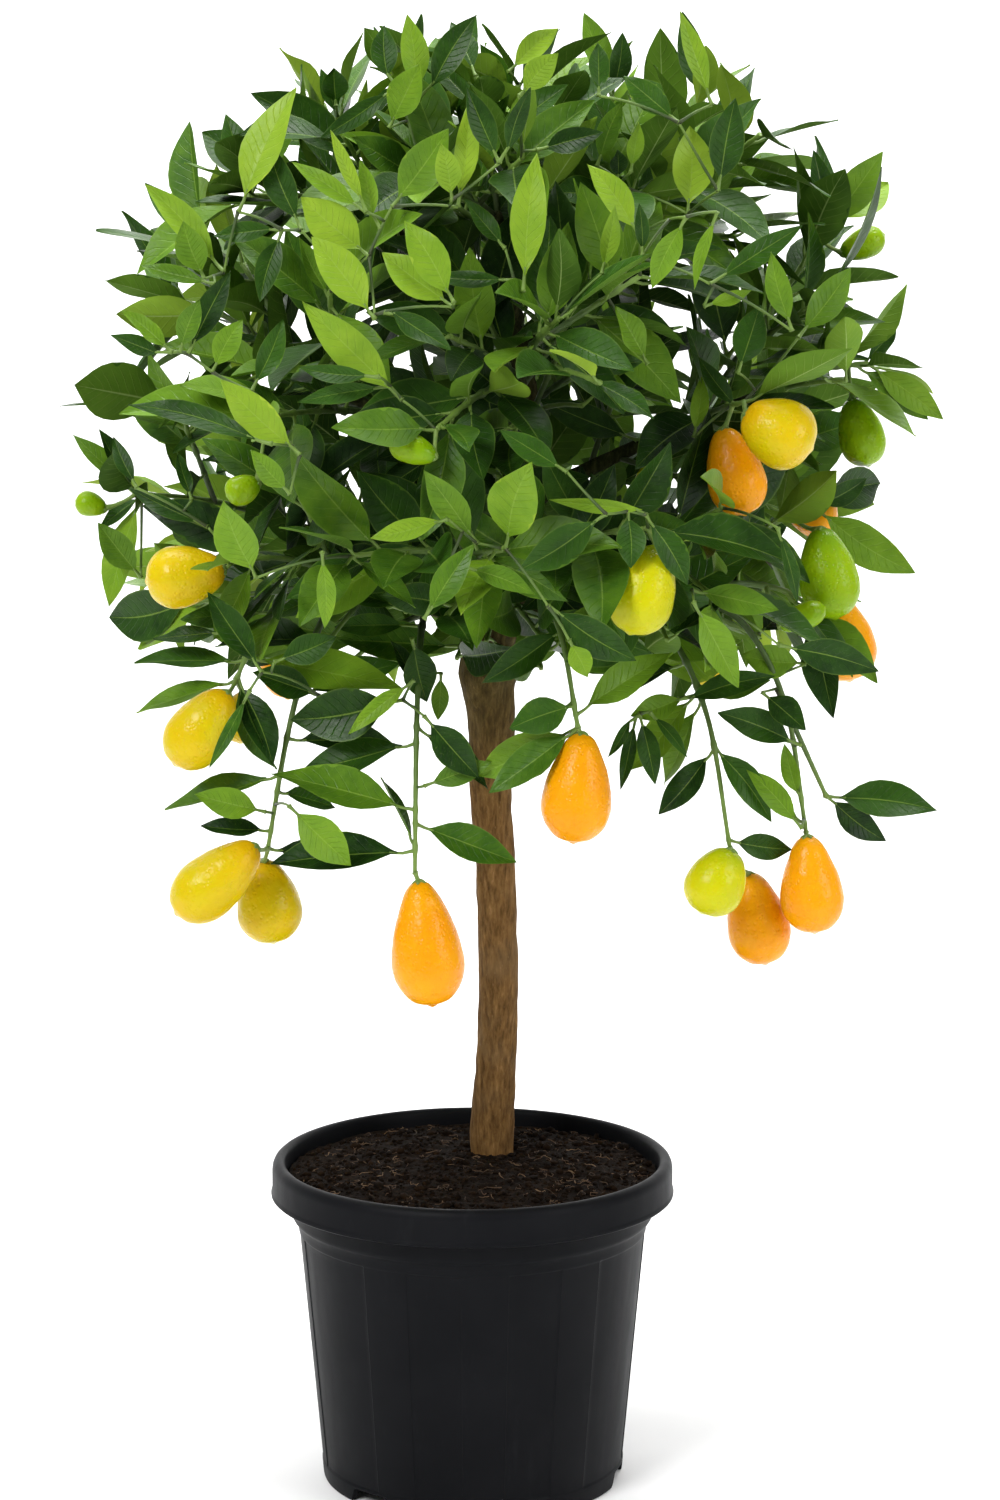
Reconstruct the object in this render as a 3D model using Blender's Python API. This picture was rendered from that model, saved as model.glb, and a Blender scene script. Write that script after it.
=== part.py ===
"""A potted limequat tree: pot, soil, woody trunk with limbs, leafy sprays and hanging fruits."""

import math
import random

import bmesh
import bpy
from mathutils import Quaternion, Vector
from mathutils.bvhtree import BVHTree

MM = 0.001
UP = Vector((0.0, 0.0, 1.0))
TO_FRONT = Vector((0.0, -1.0, 0.0))
GOLDEN_TURN = math.radians(137.5)
SEED = 7

# Front view. Places on the tree are given as (across, down, depth): where the front view, 1000
# wide and 1500 high, shows them, and how many millimetres they lie behind the pot's axis.
VIEW_EYE = Vector((0.0152, -2.0, 0.727))
VIEW_PITCH = math.radians(9.1)
VIEW_REACH = 3739.0
VIEW_MIDDLE = (500.0, 750.0)

# Crown and growth, in millimetres unless named otherwise
CROWN_MIDDLE = Vector((18.0, 0.0, 598.0)) * MM
CROWN_HALF = Vector((236.0, 232.0, 200.0)) * MM
CROWN_ROUNDNESS = 2.5
SHORTEST_LEAF = 40.0
JOINT_GAP = 0.3
TIGHT_ROOM = 0.15
LOOSE_ROOM = 0.7
FRUIT_ROOM = 0.6
WOOD_ROOM = 0.3
TWIG_SIDES = 4
TWIG_ROOT_RADIUS = 1.7
TWIG_TIP_RADIUS = 0.9
FORKED_TWIG_SHARE = 0.8
STALK_RADIUS = 0.9
STALK_FLARE = 1.6
STALK_DEPTH = 3.0
STALK_ROOM = (1.2, 1.8)
STALK_SIDES = 4
LEAF_THICKNESS = 1.4
LEAF_WIDTH_SHARE = 0.42
LEAF_TRY_MARGIN = 0.9
LEAF_ROWS = ((0.12, 0.0), (0.38, 0.47), (0.68, 0.42))
PETIOLE_HALF_WIDTH = 0.85
LEAF_ROOT_DEPTH = 1.0

# Pot, in millimetres: (radius, height) rings
POT_OUTER_FOOT = ((82.2, 0.0), (83.3, 2.0))
POT_BODY_FOOT_RADIUS = 83.0
POT_BODY_SLOPE = 0.0918
PANEL_BOTTOM = 10.0
PANEL_TOP = 140.0
PANEL_DEPTH = 0.9
POT_OUTER_HEAD = (
    (96.4, 146.0), (99.5, 148.8), (99.5, 159.8), (110.3, 160.4), (110.3, 177.0), (107.2, 180.0),
)
POT_INNER = ((103.0, 179.0), (102.0, 163.0), (95.4, 158.0), (81.5, 8.0))
POT_UNDER = ((30.0, 0.0), (30.0, 5.8), (80.0, 5.8), (80.0, 0.0))
PATTERN_MIDDLE = 4.5
PANEL_EDGES = ((7.6, 26.0), (41.6, 78.4), (94.0, 112.4))
FILLER_ANGLES = (0.0, 16.8, 33.8, 50.8, 60.0, 69.2, 86.2, 103.2)
NOTCH_MIDDLE = 18.0
NOTCH_COUNT = 6
NOTCH_WIDTH = 21.0
NOTCH_INNER_RADIUS = 70.0
NOTCH_OUTER_RADIUS = 92.0
NOTCH_HEIGHT = 8.4

# Soil, in millimetres
SOIL_SIDES = 24
SOIL_SIDE = ((80.8, 8.6), (94.5, 158.2), (101.2, 163.7), (101.5, 171.0))
SOIL_TOP = ((80.0, 172.5), (48.0, 174.5))
SOIL_MIDDLE_HEIGHT = 176.0
SOIL_BUMP = 1.3
HOLE_DEPTH = 90.0
HOLE_TOP = 20.0
STUMP_SLACK = 0.6

# Trunk: places from the soil up, with the radius in millimetres at each
TRUNK_SIDES = 10
TRUNK = (
    (492, 1131, 30, 11.6), (496, 1060, 26, 11.0), (498, 1000, 22, 11.0), (497, 900, 16, 10.8),
    (491, 800, 10, 11.3), (491, 720, 7, 12.6), (487, 668, 5, 15.5), (490, 632, 4, 12.5),
)
LEADER = (
    (488, 655, 4, 12.0), (508, 600, 2, 9.4), (520, 530, 0, 8.0), (528, 503, 0, 8.8),
    (528, 440, 0, 7.0), (525, 390, 0, 6.2), (514, 340, 0, 5.2), (506, 285, 0, 4.2), (510, 225, 0, 3.0),
)
LEADER_SIDES = 7
LIMB_SIDES = 5

# Limbs: what they grow from, how far along it, a place they bend towards, and their end
LIMBS = {
    "low_left": ("leader", 0.06, (420, 600, -28), (300, 585, -72)),
    "low_right": ("leader", 0.08, (585, 590, -35), (700, 592, -70)),
    "back_left": ("leader", 0.05, (395, 560, 55), (270, 515, 75)),
    "back_right": ("leader", 0.12, (600, 560, 60), (712, 505, 90)),
    "low_front": ("leader", 0.10, (492, 585, -55), (498, 560, -112)),
    "low_back": ("leader", 0.14, (505, 560, 85), (500, 490, 145)),
    "mid_left": ("leader", 0.42, (430, 430, -20), (285, 370, -20)),
    "mid_right": ("leader", 0.38, (640, 440, -12), (765, 392, 0)),
    "mid_front": ("leader", 0.50, (522, 410, -80), (520, 360, -140)),
    "mid_back": ("leader", 0.52, (535, 390, 70), (522, 330, 135)),
    "top_left": ("leader", 0.76, (445, 255, 0), (355, 205, -12)),
    "top_right": ("leader", 0.72, (590, 275, 0), (682, 212, 0)),
    "top_front": ("leader", 0.80, (508, 260, -50), (498, 215, -92)),
    "top_back": ("leader", 0.80, (514, 250, 50), (522, 195, 92)),
}
LIMB_ROOT_RADIUS = 4.6
LIMB_TIP_RADIUS = 2.2

# Sprays. Each is a node: its twigs, the first from a limb and the others from the first, as
# (grows from, how far along, end, reach, rise in mm, leaves by rule, mean leaf length in mm).
# A reach near 1 goes out level and then hangs; 0.5 runs straight but for its rise.
SPRAYS = {
    "spray_top_left": (("top_left", 0.60, (400, 84, -20), 0.5, 6, 5, 55),),
    "spray_top_mid": (
        ("leader", 0.97, (518, 84, -10), 0.5, 5, 5, 57),
        ("", 0.30, (448, 92, 25), 0.5, 0, 4, 57),
    ),
    "spray_top_right": (
        ("top_right", 0.55, (612, 96, 12), 0.5, 5, 3, 55),
        ("", 0.25, (704, 104, -10), 0.6, 8, 3, 57),
        ("", 0.25, (738, 160, 35), 0.5, 0, 2, 59),
    ),
    "spray_right_up": (
        ("mid_right", 0.72, (832, 222, 0), 0.5, 0, 5, 59),
        ("", 0.35, (826, 296, -45), 0.5, 0, 4, 61),
    ),
    "spray_right": (("mid_right", 0.98, (868, 364, 10), 0.5, 8, 4, 59),),
    "spray_right_front": (("mid_right", 0.60, (744, 402, -122), 0.6, 8, 4, 61),),
    "spray_right_mid": (("low_right", 0.86, (818, 506, -35), 0.5, 10, 3, 61),),
    "spray_right_low": (("low_right", 0.97, (812, 606, -55), 0.6, 14, 4, 61),),
    "spray_hang_right": (("low_right", 0.62, (730, 848, -92), 0.8, 18, 0, 53),),
    "spray_hang_far_right": (
        ("low_right", 0.92, (806, 832, -75), 0.85, 14, 0, 53),
        ("", 0.60, (826, 796, -52), 0.5, 0, 0, 55),
    ),
    "spray_hang_middle": (("low_front", 0.72, (578, 728, -135), 0.75, 16, 1, 55),),
    "spray_hang_left_middle": (("low_left", 0.42, (415, 872, -122), 0.85, 16, 0, 57),),
    "spray_hang_left": (("low_left", 0.84, (268, 848, -100), 0.6, 20, 0, 57),),
    "spray_left_low": (("low_left", 0.97, (236, 680, -84), 0.6, 12, 2, 59),),
    "spray_left_front": (("low_left", 0.70, (232, 562, -96), 0.5, 8, 4, 61),),
    "spray_far_left": (
        ("back_left", 0.97, (136, 494, -12), 0.5, 6, 3, 55),
        ("", 0.45, (178, 404, -25), 0.5, 0, 4, 63),
    ),
    "spray_left_mid": (
        ("mid_left", 0.97, (176, 300, 25), 0.5, 6, 5, 59),
        ("", 0.35, (204, 236, -12), 0.5, 0, 4, 59),
    ),
    "spray_left_high": (
        ("top_left", 0.97, (250, 196, -40), 0.5, 6, 5, 61),
        ("", 0.25, (338, 118, 0), 0.5, 0, 3, 59),
    ),
    "spray_front_left": (
        ("mid_left", 0.62, (262, 420, -142), 0.6, 8, 4, 63),
        ("", 0.40, (330, 292, -150), 0.5, 0, 5, 65),
    ),
    "spray_front_high": (
        ("top_front", 0.95, (424, 176, -122), 0.5, 6, 5, 63),
        ("", 0.25, (522, 158, -132), 0.5, 0, 5, 63),
    ),
    "spray_front_high_right": (
        ("top_right", 0.80, (624, 186, -118), 0.6, 6, 5, 63),
        ("", 0.45, (692, 168, -92), 0.5, 0, 4, 61),
    ),
    "spray_front_middle": (
        ("mid_front", 0.97, (560, 318, -185), 0.5, 4, 5, 63),
        ("", 0.30, (640, 276, -150), 0.5, 0, 5, 61),
    ),
    "spray_front_middle_left": (("mid_front", 0.82, (436, 430, -186), 0.5, 8, 5, 63),),
    "spray_front_low": (
        ("low_front", 0.97, (352, 556, -158), 0.5, 8, 5, 65),
        ("", 0.20, (505, 548, -186), 0.5, 0, 4, 63),
    ),
    "spray_front_low_right": (("low_front", 0.86, (648, 528, -150), 0.5, 8, 5, 63),),
    "spray_front_right": (
        ("low_right", 0.50, (722, 508, -132), 0.5, 8, 5, 63),
        ("", 0.40, (712, 596, -128), 0.6, 4, 4, 63),
    ),
    "spray_back_low": (
        ("low_back", 0.90, (400, 590, 150), 0.5, 8, 4, 63),
        ("", 0.20, (610, 590, 155), 0.5, 8, 4, 63),
        ("", 0.20, (500, 500, 196), 0.5, 0, 4, 63),
    ),
    "spray_back_left": (
        ("back_left", 0.82, (220, 520, 130), 0.5, 6, 4, 63),
        ("", 0.25, (290, 590, 145), 0.6, 8, 4, 63),
        ("", 0.25, (250, 400, 135), 0.5, 0, 4, 63),
    ),
    "spray_back_right": (
        ("back_right", 0.95, (790, 500, 120), 0.5, 6, 4, 63),
        ("", 0.20, (700, 590, 145), 0.6, 8, 4, 63),
        ("", 0.20, (770, 420, 120), 0.5, 0, 4, 63),
    ),
    "spray_back_middle": (
        ("mid_back", 0.97, (440, 330, 196), 0.5, 4, 4, 63),
        ("", 0.20, (600, 360, 192), 0.5, 0, 4, 63),
        ("", 0.20, (515, 250, 175), 0.5, 0, 4, 63),
    ),
    "spray_back_high": (
        ("top_back", 0.97, (450, 140, 115), 0.5, 4, 4, 61),
        ("", 0.20, (600, 140, 115), 0.5, 0, 4, 61),
        ("", 0.20, (690, 230, 140), 0.6, 6, 4, 61),
    ),
    "spray_back_high_left": (
        ("top_left", 0.80, (340, 230, 130), 0.5, 4, 4, 61),
        ("", 0.45, (262, 300, 115), 0.5, 0, 4, 61),
    ),
}

# Leaves set one by one where the outline or a gap shows them singly, under their spray's twig:
# (across and down of the base, across and down of the tip, tip's depth beyond the base, turn)
SINGLE_LEAVES = {
    ("spray_top_left", 0): ((392, 92, 376, 26, 0, 20), (408, 98, 409, 12, -6, 50)),
    ("spray_top_mid", 0): ((506, 86, 559, 28, 0, 10), (498, 100, 480, 44, 0, -30)),
    ("spray_top_mid", 1): ((440, 100, 477, 14, 6, 25),),
    ("spray_top_right", 0): ((602, 98, 624, 32, 0, 30), (590, 118, 572, 78, 0, 0)),
    ("spray_top_right", 1): ((714, 106, 684, 11, 0, 5), (690, 120, 634, 74, 6, 10)),
    ("spray_top_right", 2): ((732, 176, 742, 98, 0, 20), (744, 184, 778, 176, 0, 30)),
    ("spray_right_up", 0): ((828, 236, 883, 151, 0, 20), (830, 230, 815, 150, 0, 10)),
    ("spray_right_up", 1): ((826, 300, 852, 266, 0, 0),),
    ("spray_right", 0): (
        (862, 366, 898, 328, 0, 50), (870, 366, 944, 420, 0, 35), (858, 380, 930, 418, 8, 0),
    ),
    ("spray_right_mid", 0): ((812, 504, 917, 573, 0, 25), (806, 494, 868, 478, 10, 40)),
    ("spray_right_low", 0): ((788, 646, 878, 682, -20, 10), (796, 650, 832, 719, -10, 30)),
    ("spray_hang_right", 0): (
        (706, 752, 657, 813, -10, 10), (712, 744, 753, 833, -14, 0), (728, 840, 792, 868, 16, 20),
        (690, 690, 770, 680, -10, 30), (684, 696, 622, 772, 10, 0), (688, 706, 660, 786, 24, 10),
        (676, 664, 610, 690, 30, 0),
    ),
    ("spray_hang_far_right", 0): ((802, 826, 748, 771, -6, 10), (790, 742, 720, 710, -10, 15)),
    ("spray_hang_far_right", 1): ((826, 796, 938, 809, 0, 20), (822, 800, 887, 842, 6, 30)),
    ("spray_hang_middle", 0): (
        (576, 704, 511, 729, 0, 0), (580, 712, 671, 650, 0, 0), (576, 728, 487, 790, -10, 10),
    ),
    ("spray_hang_left_middle", 0): (
        (414, 742, 298, 768, 10, 10), (412, 812, 272, 770, -6, 0), (414, 850, 270, 859, 0, 15),
        (418, 726, 490, 788, 0, 0), (416, 824, 518, 861, 0, 10), (414, 846, 368, 768, 10, 60),
        (418, 690, 392, 640, 0, 20),
    ),
    ("spray_hang_left", 0): (
        (286, 776, 163, 806, 0, 15), (270, 832, 199, 824, 0, 0), (268, 846, 352, 862, 20, 0),
        (284, 790, 338, 806, 22, 0), (300, 742, 398, 744, 16, 0), (310, 700, 400, 660, 10, 0),
    ),
    ("spray_left_low", 0): (
        (238, 660, 134, 659, 0, 20), (236, 682, 135, 709, 0, 25), (262, 688, 272, 772, -14, 0),
        (288, 676, 402, 684, -20, 0),
    ),
    ("spray_left_front", 0): ((246, 570, 224, 500, -8, 0), (258, 600, 212, 640, 0, 0)),
    ("spray_far_left", 0): (
        (118, 492, 75, 432, 0, 25), (130, 494, 101, 428, 0, 20), (142, 510, 98, 528, 0, 0),
        (140, 500, 104, 606, 0, 30),
    ),
    ("spray_far_left", 1): ((210, 420, 114, 393, 0, 10),),
    ("spray_left_mid", 0): ((188, 312, 124, 310, 0, 10), (180, 296, 124, 209, 0, 20)),
    ("spray_left_mid", 1): ((214, 250, 146, 181, 0, 0),),
    ("spray_left_high", 0): ((240, 204, 294, 86, 0, 0), (246, 200, 226, 112, 10, 0)),
    ("spray_left_high", 1): ((338, 120, 322, 68, 0, 20), (344, 128, 398, 86, -10, 10)),
    ("spray_front_left", 0): ((300, 452, 220, 380, -10, 0),),
    ("spray_front_left", 1): ((310, 305, 392, 388, -14, 0), (336, 300, 300, 236, 0, 0)),
    ("spray_front_high", 1): ((520, 172, 526, 258, -12, 0),),
    ("spray_front_high_right", 1): ((690, 208, 686, 126, -6, 0),),
    ("spray_front_middle", 0): ((536, 332, 626, 412, -12, 0),),
    ("spray_front_low", 0): ((312, 520, 416, 606, -10, 0),),
}

# Fruits: spray or limb they hang from, stem end, tip, depth, width in mm, neck from 0 oval to 1 drawn out
FRUITS = {
    "fruit_green_small_right": ("spray_right_up", (841, 254), (885, 234), 0, 16.0, 0.2),
    "fruit_green_right": ("spray_right", (852, 398), (869, 467), 0, 24.0, 0.4),
    "fruit_yellow_right": ("spray_right_front", (744, 414), (813, 450), -136, 34.0, 0.2),
    "fruit_orange_right": ("spray_right_front", (723, 428), (746, 516), -108, 29.0, 0.5),
    "fruit_orange_right_hidden": ("spray_right_mid", (788, 510), (838, 516), 8, 26.0, 0.4),
    "fruit_green_right_low": ("spray_right_mid", (820, 528), (836, 620), -70, 30.0, 0.4),
    "fruit_green_small_low": ("spray_right_low", (779, 627), (826, 607), -92, 13.5, 0.2),
    "fruit_orange_right_low": ("spray_right_low", (836, 598), (850, 682), -36, 33.0, 0.4),
    "fruit_lime_middle": ("spray_front_low_right", (659, 546), (629, 635), -160, 31.5, 0.4),
    "fruit_lime_hidden": ("mid_right", (650, 464), (652, 502), -20, 18.0, 0.2),
    "fruit_orange_middle": ("spray_hang_middle", (582, 733), (573, 844), -135, 34.5, 0.7),
    "fruit_lime_right_hang": ("spray_hang_right", (732, 850), (701, 914), -112, 30.0, 0.2),
    "fruit_orange_right_hang": ("spray_hang_right", (748, 873), (766, 965), -64, 32.0, 0.5),
    "fruit_orange_far_hang": ("spray_hang_far_right", (807, 836), (815, 934), -80, 32.0, 0.7),
    "fruit_orange_left_middle": ("spray_hang_left_middle", (419, 881), (433, 1007), -122, 36.0, 0.8),
    "fruit_yellow_left_hang": ("spray_hang_left", (257, 846), (175, 915), -118, 31.0, 0.4),
    "fruit_yellow_left_hang_back": ("spray_hang_left", (263, 860), (274, 944), -82, 33.0, 0.4),
    "fruit_yellow_left_low": ("spray_left_low", (228, 692), (174, 766), -104, 30.5, 0.3),
    "fruit_yellow_left_low_back": ("spray_left_low", (246, 692), (240, 744), -62, 24.0, 0.4),
    "fruit_yellow_left": ("spray_left_front", (225, 570), (145, 582), -100, 31.0, 0.4),
    "fruit_green_small_far_left": ("spray_far_left", (106, 509), (75, 500), -16, 13.0, 0.2),
    "fruit_green_small_middle": ("spray_front_middle_left", (436, 457), (389, 441), -192, 14.5, 0.2),
    "fruit_green_small_left": ("spray_front_left", (259, 482), (226, 497), -136, 15.0, 0.2),
    "fruit_orange_back_left": ("spray_back_left", (290, 610), (288, 700), 150, 32.0, 0.6),
    "fruit_yellow_back_right": ("spray_back_right", (706, 610), (712, 690), 152, 31.0, 0.4),
}
FRUIT_SIDES = 7
FRUIT_ROWS = (
    (0.0, 0.30, 0.16), (0.20, 0.76, 0.50), (0.45, 0.99, 0.86),
    (0.70, 0.97, 1.00), (0.92, 0.46, 0.50), (1.0, 0.10, 0.10),
)

COLOURS = {
    "pot": ((0.018, 0.020, 0.023), 0.38),
    "soil": ((0.035, 0.022, 0.014), 0.95),
    "trunk": ((0.17, 0.105, 0.060), 0.85),
    "leaf": ((0.055, 0.16, 0.022), 0.42),
    "orange": ((0.92, 0.40, 0.02), 0.38),
    "yellow": ((0.88, 0.66, 0.05), 0.38),
    "lime": ((0.50, 0.58, 0.06), 0.38),
    "green": ((0.12, 0.27, 0.03), 0.40),
}


# Places, curves and frames


def at(across, down, depth):
    """The point that the front view shows there, depth millimetres behind the pot's axis."""
    side = (across - VIEW_MIDDLE[0]) / VIEW_REACH
    rise = (VIEW_MIDDLE[1] - down) / VIEW_REACH
    ahead = math.cos(VIEW_PITCH) + rise * math.sin(VIEW_PITCH)
    climb = rise * math.cos(VIEW_PITCH) - math.sin(VIEW_PITCH)
    distance = (depth * MM - VIEW_EYE.y) / ahead
    return VIEW_EYE + distance * Vector((side, ahead, climb))


def seen_from_front(point):
    """Where the front view shows a point, across and down."""
    away = point - VIEW_EYE
    ahead = away.y * math.cos(VIEW_PITCH) - away.z * math.sin(VIEW_PITCH)
    rise = away.y * math.sin(VIEW_PITCH) + away.z * math.cos(VIEW_PITCH)
    across = VIEW_MIDDLE[0] + VIEW_REACH * away.x / ahead
    return Vector((across, VIEW_MIDDLE[1] - VIEW_REACH * rise / ahead))


def along(path, share):
    """The point and the unit direction at this share of a path's steps."""
    place = min(max(share, 0.0), 1.0) * (len(path) - 1)
    step = min(int(place), len(path) - 2)
    direction = (path[step + 1] - path[step]).normalized()
    return path[step].lerp(path[step + 1], place - step), direction


def bent(start, towards, end, steps):
    """Points on the curve that leaves start towards one point and comes to end from it."""
    shares = [i / steps for i in range(steps + 1)]
    return [(1 - t) ** 2 * start + 2 * t * (1 - t) * towards + t * t * end for t in shares]


def across_of(direction):
    """A unit vector at right angles to a direction, level where it can be."""
    level = direction.cross(UP)
    if level.length < 0.05:
        level = direction.cross(TO_FRONT)
    return level.normalized()


def taper(first, last, count):
    return [first + (last - first) * i / (count - 1) for i in range(count)]


# Shapes, each as a list of points and a list of faces


def tube(path, radii, sides):
    """A closed tube round a path, its rings turned as little as possible from one to the next."""
    points = []
    last = len(path) - 1
    directions = [(path[min(i + 1, last)] - path[max(i - 1, 0)]).normalized() for i in range(last + 1)]
    side = across_of(directions[0])
    for i, (centre, radius) in enumerate(zip(path, radii)):
        side = (side - directions[i] * side.dot(directions[i])).normalized()
        other = directions[i].cross(side)
        for k in range(sides):
            angle = math.tau * k / sides
            points.append(centre + radius * MM * (math.cos(angle) * side + math.sin(angle) * other))
    faces = ring_faces(len(path), sides)
    faces.append(tuple(reversed(range(sides))))
    faces.append(tuple(range(len(points) - sides, len(points))))
    return points, faces


def ring_faces(rings, sides):
    faces = []
    for i in range(rings - 1):
        for k in range(sides):
            a = i * sides + k
            b = i * sides + (k + 1) % sides
            faces.append((a, b, b + sides, a + sides))
    return faces


def leaf_frame(leaf, share):
    """A point on a leaf's midrib and the blade's normal there."""
    base, direction, normal, length = leaf["base"], leaf["direction"], leaf["normal"], leaf["length"] * MM
    drop = leaf["arch"] * length * share * share
    slope = 2.0 * leaf["arch"] * share
    return base + direction * length * share - normal * drop, (normal + direction * slope).normalized()


def leaf_shape(leaf, margin=0.0):
    """A folded blade on its petiole, thick at the midrib, thin at the edges and rooted in a point."""
    side = leaf["direction"].cross(leaf["normal"]).normalized()
    thick = (LEAF_THICKNESS / 2 + margin) * MM
    points = [leaf["base"] - leaf["direction"] * LEAF_ROOT_DEPTH * MM]
    for share, half in LEAF_ROWS:
        middle, normal = leaf_frame(leaf, share)
        spread = (max(half * leaf["width"], PETIOLE_HALF_WIDTH) + margin) * MM
        lift = normal * spread * math.sin(leaf["fold"]) if half else Vector()
        reach = side * spread * math.cos(leaf["fold"])
        points += [middle - reach + lift, middle + normal * thick]
        points += [middle + reach + lift, middle - normal * thick]
    tip, normal = leaf_frame(leaf, 1.0 + margin / leaf["length"])
    points.append(tip)
    faces = [(0, 1, 2), (0, 2, 3), (0, 3, 4), (0, 4, 1)]
    last = 4 * len(LEAF_ROWS) - 3
    for a in range(1, last, 4):
        b = a + 4
        for edge in (0, 2):
            upper = [(a + edge, a + 1, b + 1), (a + edge, b + 1, b + edge)]
            lower = [(a + edge, b + 3, a + 3), (a + edge, b + edge, b + 3)]
            faces += upper + lower if edge == 2 else [t[::-1] for t in upper + lower]
    faces += [(last + k, last + 4, last + (k + 1) % 4) for k in range(4)]
    return points, faces


def fruit_shape(fruit, margin=0.0):
    """The body of a fruit from its stem end to the nipple at its tip."""
    axis = fruit["tip"] - fruit["stem"]
    side = across_of(axis.normalized())
    other = axis.normalized().cross(side)
    points = []
    for share, oval, drawn in FRUIT_ROWS:
        swell = fruit["width"] / 2 / math.cos(math.pi / FRUIT_SIDES)
        radius = (swell * (oval + (drawn - oval) * fruit["neck"]) + margin) * MM
        for k in range(FRUIT_SIDES):
            angle = math.tau * k / FRUIT_SIDES
            offset = math.cos(angle) * side + math.sin(angle) * other
            points.append(fruit["stem"] + axis * share + radius * offset)
    faces = ring_faces(len(FRUIT_ROWS), FRUIT_SIDES)
    faces.append(tuple(reversed(range(FRUIT_SIDES))))
    faces.append(tuple(range(len(points) - FRUIT_SIDES, len(points))))
    return points, faces


def tree_of(shapes):
    """One search tree over several shapes."""
    points, faces = [], []
    for shape_points, shape_faces in shapes:
        start = len(points)
        points += shape_points
        faces += [tuple(start + i for i in face) for face in shape_faces]
    return BVHTree.FromPolygons(points, faces)


def meets(shape, trees):
    own = tree_of([shape])
    return any(own.overlap(tree) for tree in trees)


# Growth: limbs, twigs, fruits and leaves find their places here, in a fixed order


def grow_wood():
    """Paths and radii of the trunk, the leader and each limb."""
    wood = {}
    for name, rows in (("trunk", TRUNK), ("leader", LEADER)):
        wood[name] = ([at(*row[:3]) for row in rows], [row[3] for row in rows])
    for name, (parent, share, towards, end) in LIMBS.items():
        start, _ = along(wood[parent][0], share)
        path = bent(start, at(*towards), at(*end), 3)
        wood[name] = (path, taper(LIMB_ROOT_RADIUS, LIMB_TIP_RADIUS, len(path)))
    return wood


def wood_sides(name):
    return {"trunk": TRUNK_SIDES, "leader": LEADER_SIDES}.get(name, LIMB_SIDES)


def twig_path(start, end, reach, rise, shift):
    """A twig's path by way of a point that reach, rise and shift set."""
    span = end - start
    towards = start + Vector((span.x * reach, span.y * reach, span.z * (1 - reach) + rise * MM)) + shift
    return bent(start, towards, end, 3)


def twig_shifts():
    """Small moves of a twig's bend, nearest first."""
    yield Vector()
    for size in (10, 20, 32, 46):
        for way in (UP, -UP, Vector((1, 0, 0)), Vector((-1, 0, 0)), TO_FRONT, -TO_FRONT):
            yield way * size * MM


def grow_twigs(wood, fruits):
    """Each spray's twigs, clear of the wood, of other sprays' twigs and of fruits."""
    wood_tree = tree_of([tube(path, radii, wood_sides(name)) for name, (path, radii) in wood.items()])
    fruit_trees = [tree_of([fruit_shape(fruit, FRUIT_ROOM)]) for fruit in fruits.values()]
    grown = {}
    trees = {}
    for spray, rows in SPRAYS.items():
        twigs = []
        for parent, share, end, reach, rise, leaves, length in rows:
            start, _ = along(wood[parent][0] if parent else twigs[0]["path"], share)
            others = list(trees.values()) + fruit_trees + [wood_tree]
            for shift in twig_shifts():
                path = twig_path(start, at(*end), reach, rise, shift)
                if parent:
                    path = off_the_wood(path, wood_tree)
                twig = {"path": path, "forked": not parent, "leaves": leaves, "length": length}
                tight = tube(path, [radius + TIGHT_ROOM for radius in radii_of(twig)], TWIG_SIDES)
                loose = tube(path[1:], [radius + LOOSE_ROOM for radius in radii_of(twig)[1:]], TWIG_SIDES)
                if not meets(tight, [wood_tree]) and not meets(loose, others):
                    break
            twigs.append(twig)
        trees[spray] = tree_of([tube(twig["path"], radii_of(twig), TWIG_SIDES) for twig in twigs])
        grown[spray] = twigs
    return grown, trees


def off_the_wood(path, wood_tree):
    """The path shortened at its start until the twig's end face stands just off the wood."""
    direction = (path[1] - path[0]).normalized()
    side = across_of(direction)
    other = direction.cross(side)
    rim = [(side * x + other * y) * TWIG_ROOT_RADIUS * MM for x, y in ((1, 0), (0, 1), (-1, 0), (0, -1))]
    for step in range(1, 200):
        start = path[0] + direction * step * 0.1 * MM
        gaps = []
        for offset in [Vector(), *rim]:
            place, normal, _, gap = wood_tree.find_nearest(start + offset)
            gaps.append(gap if (start + offset - place).dot(normal) > 0 else -gap)
        if min(gaps) >= JOINT_GAP * MM:
            break
    rest = [point for point in path[1:] if (point - start).dot(direction) > 3 * MM]
    return [start, *rest]


def radii_of(twig):
    root = TWIG_ROOT_RADIUS * (FORKED_TWIG_SHARE if twig["forked"] else 1.0)
    return taper(root, TWIG_TIP_RADIUS, len(twig["path"]))


def place_fruits():
    fruits = {}
    for name, (carrier, stem, tip, depth, width, neck) in FRUITS.items():
        fruits[name] = {
            "from": carrier,
            "stem": at(*stem, depth),
            "tip": at(*tip, depth),
            "width": width,
            "neck": neck,
        }
    return fruits


def nearest_on(path, point, steps=60):
    """The share of a path's steps that is nearest to a point."""
    shares = [i / steps for i in range(steps + 1)]
    return min(shares, key=lambda share: (along(path, share)[0] - point).length)


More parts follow.
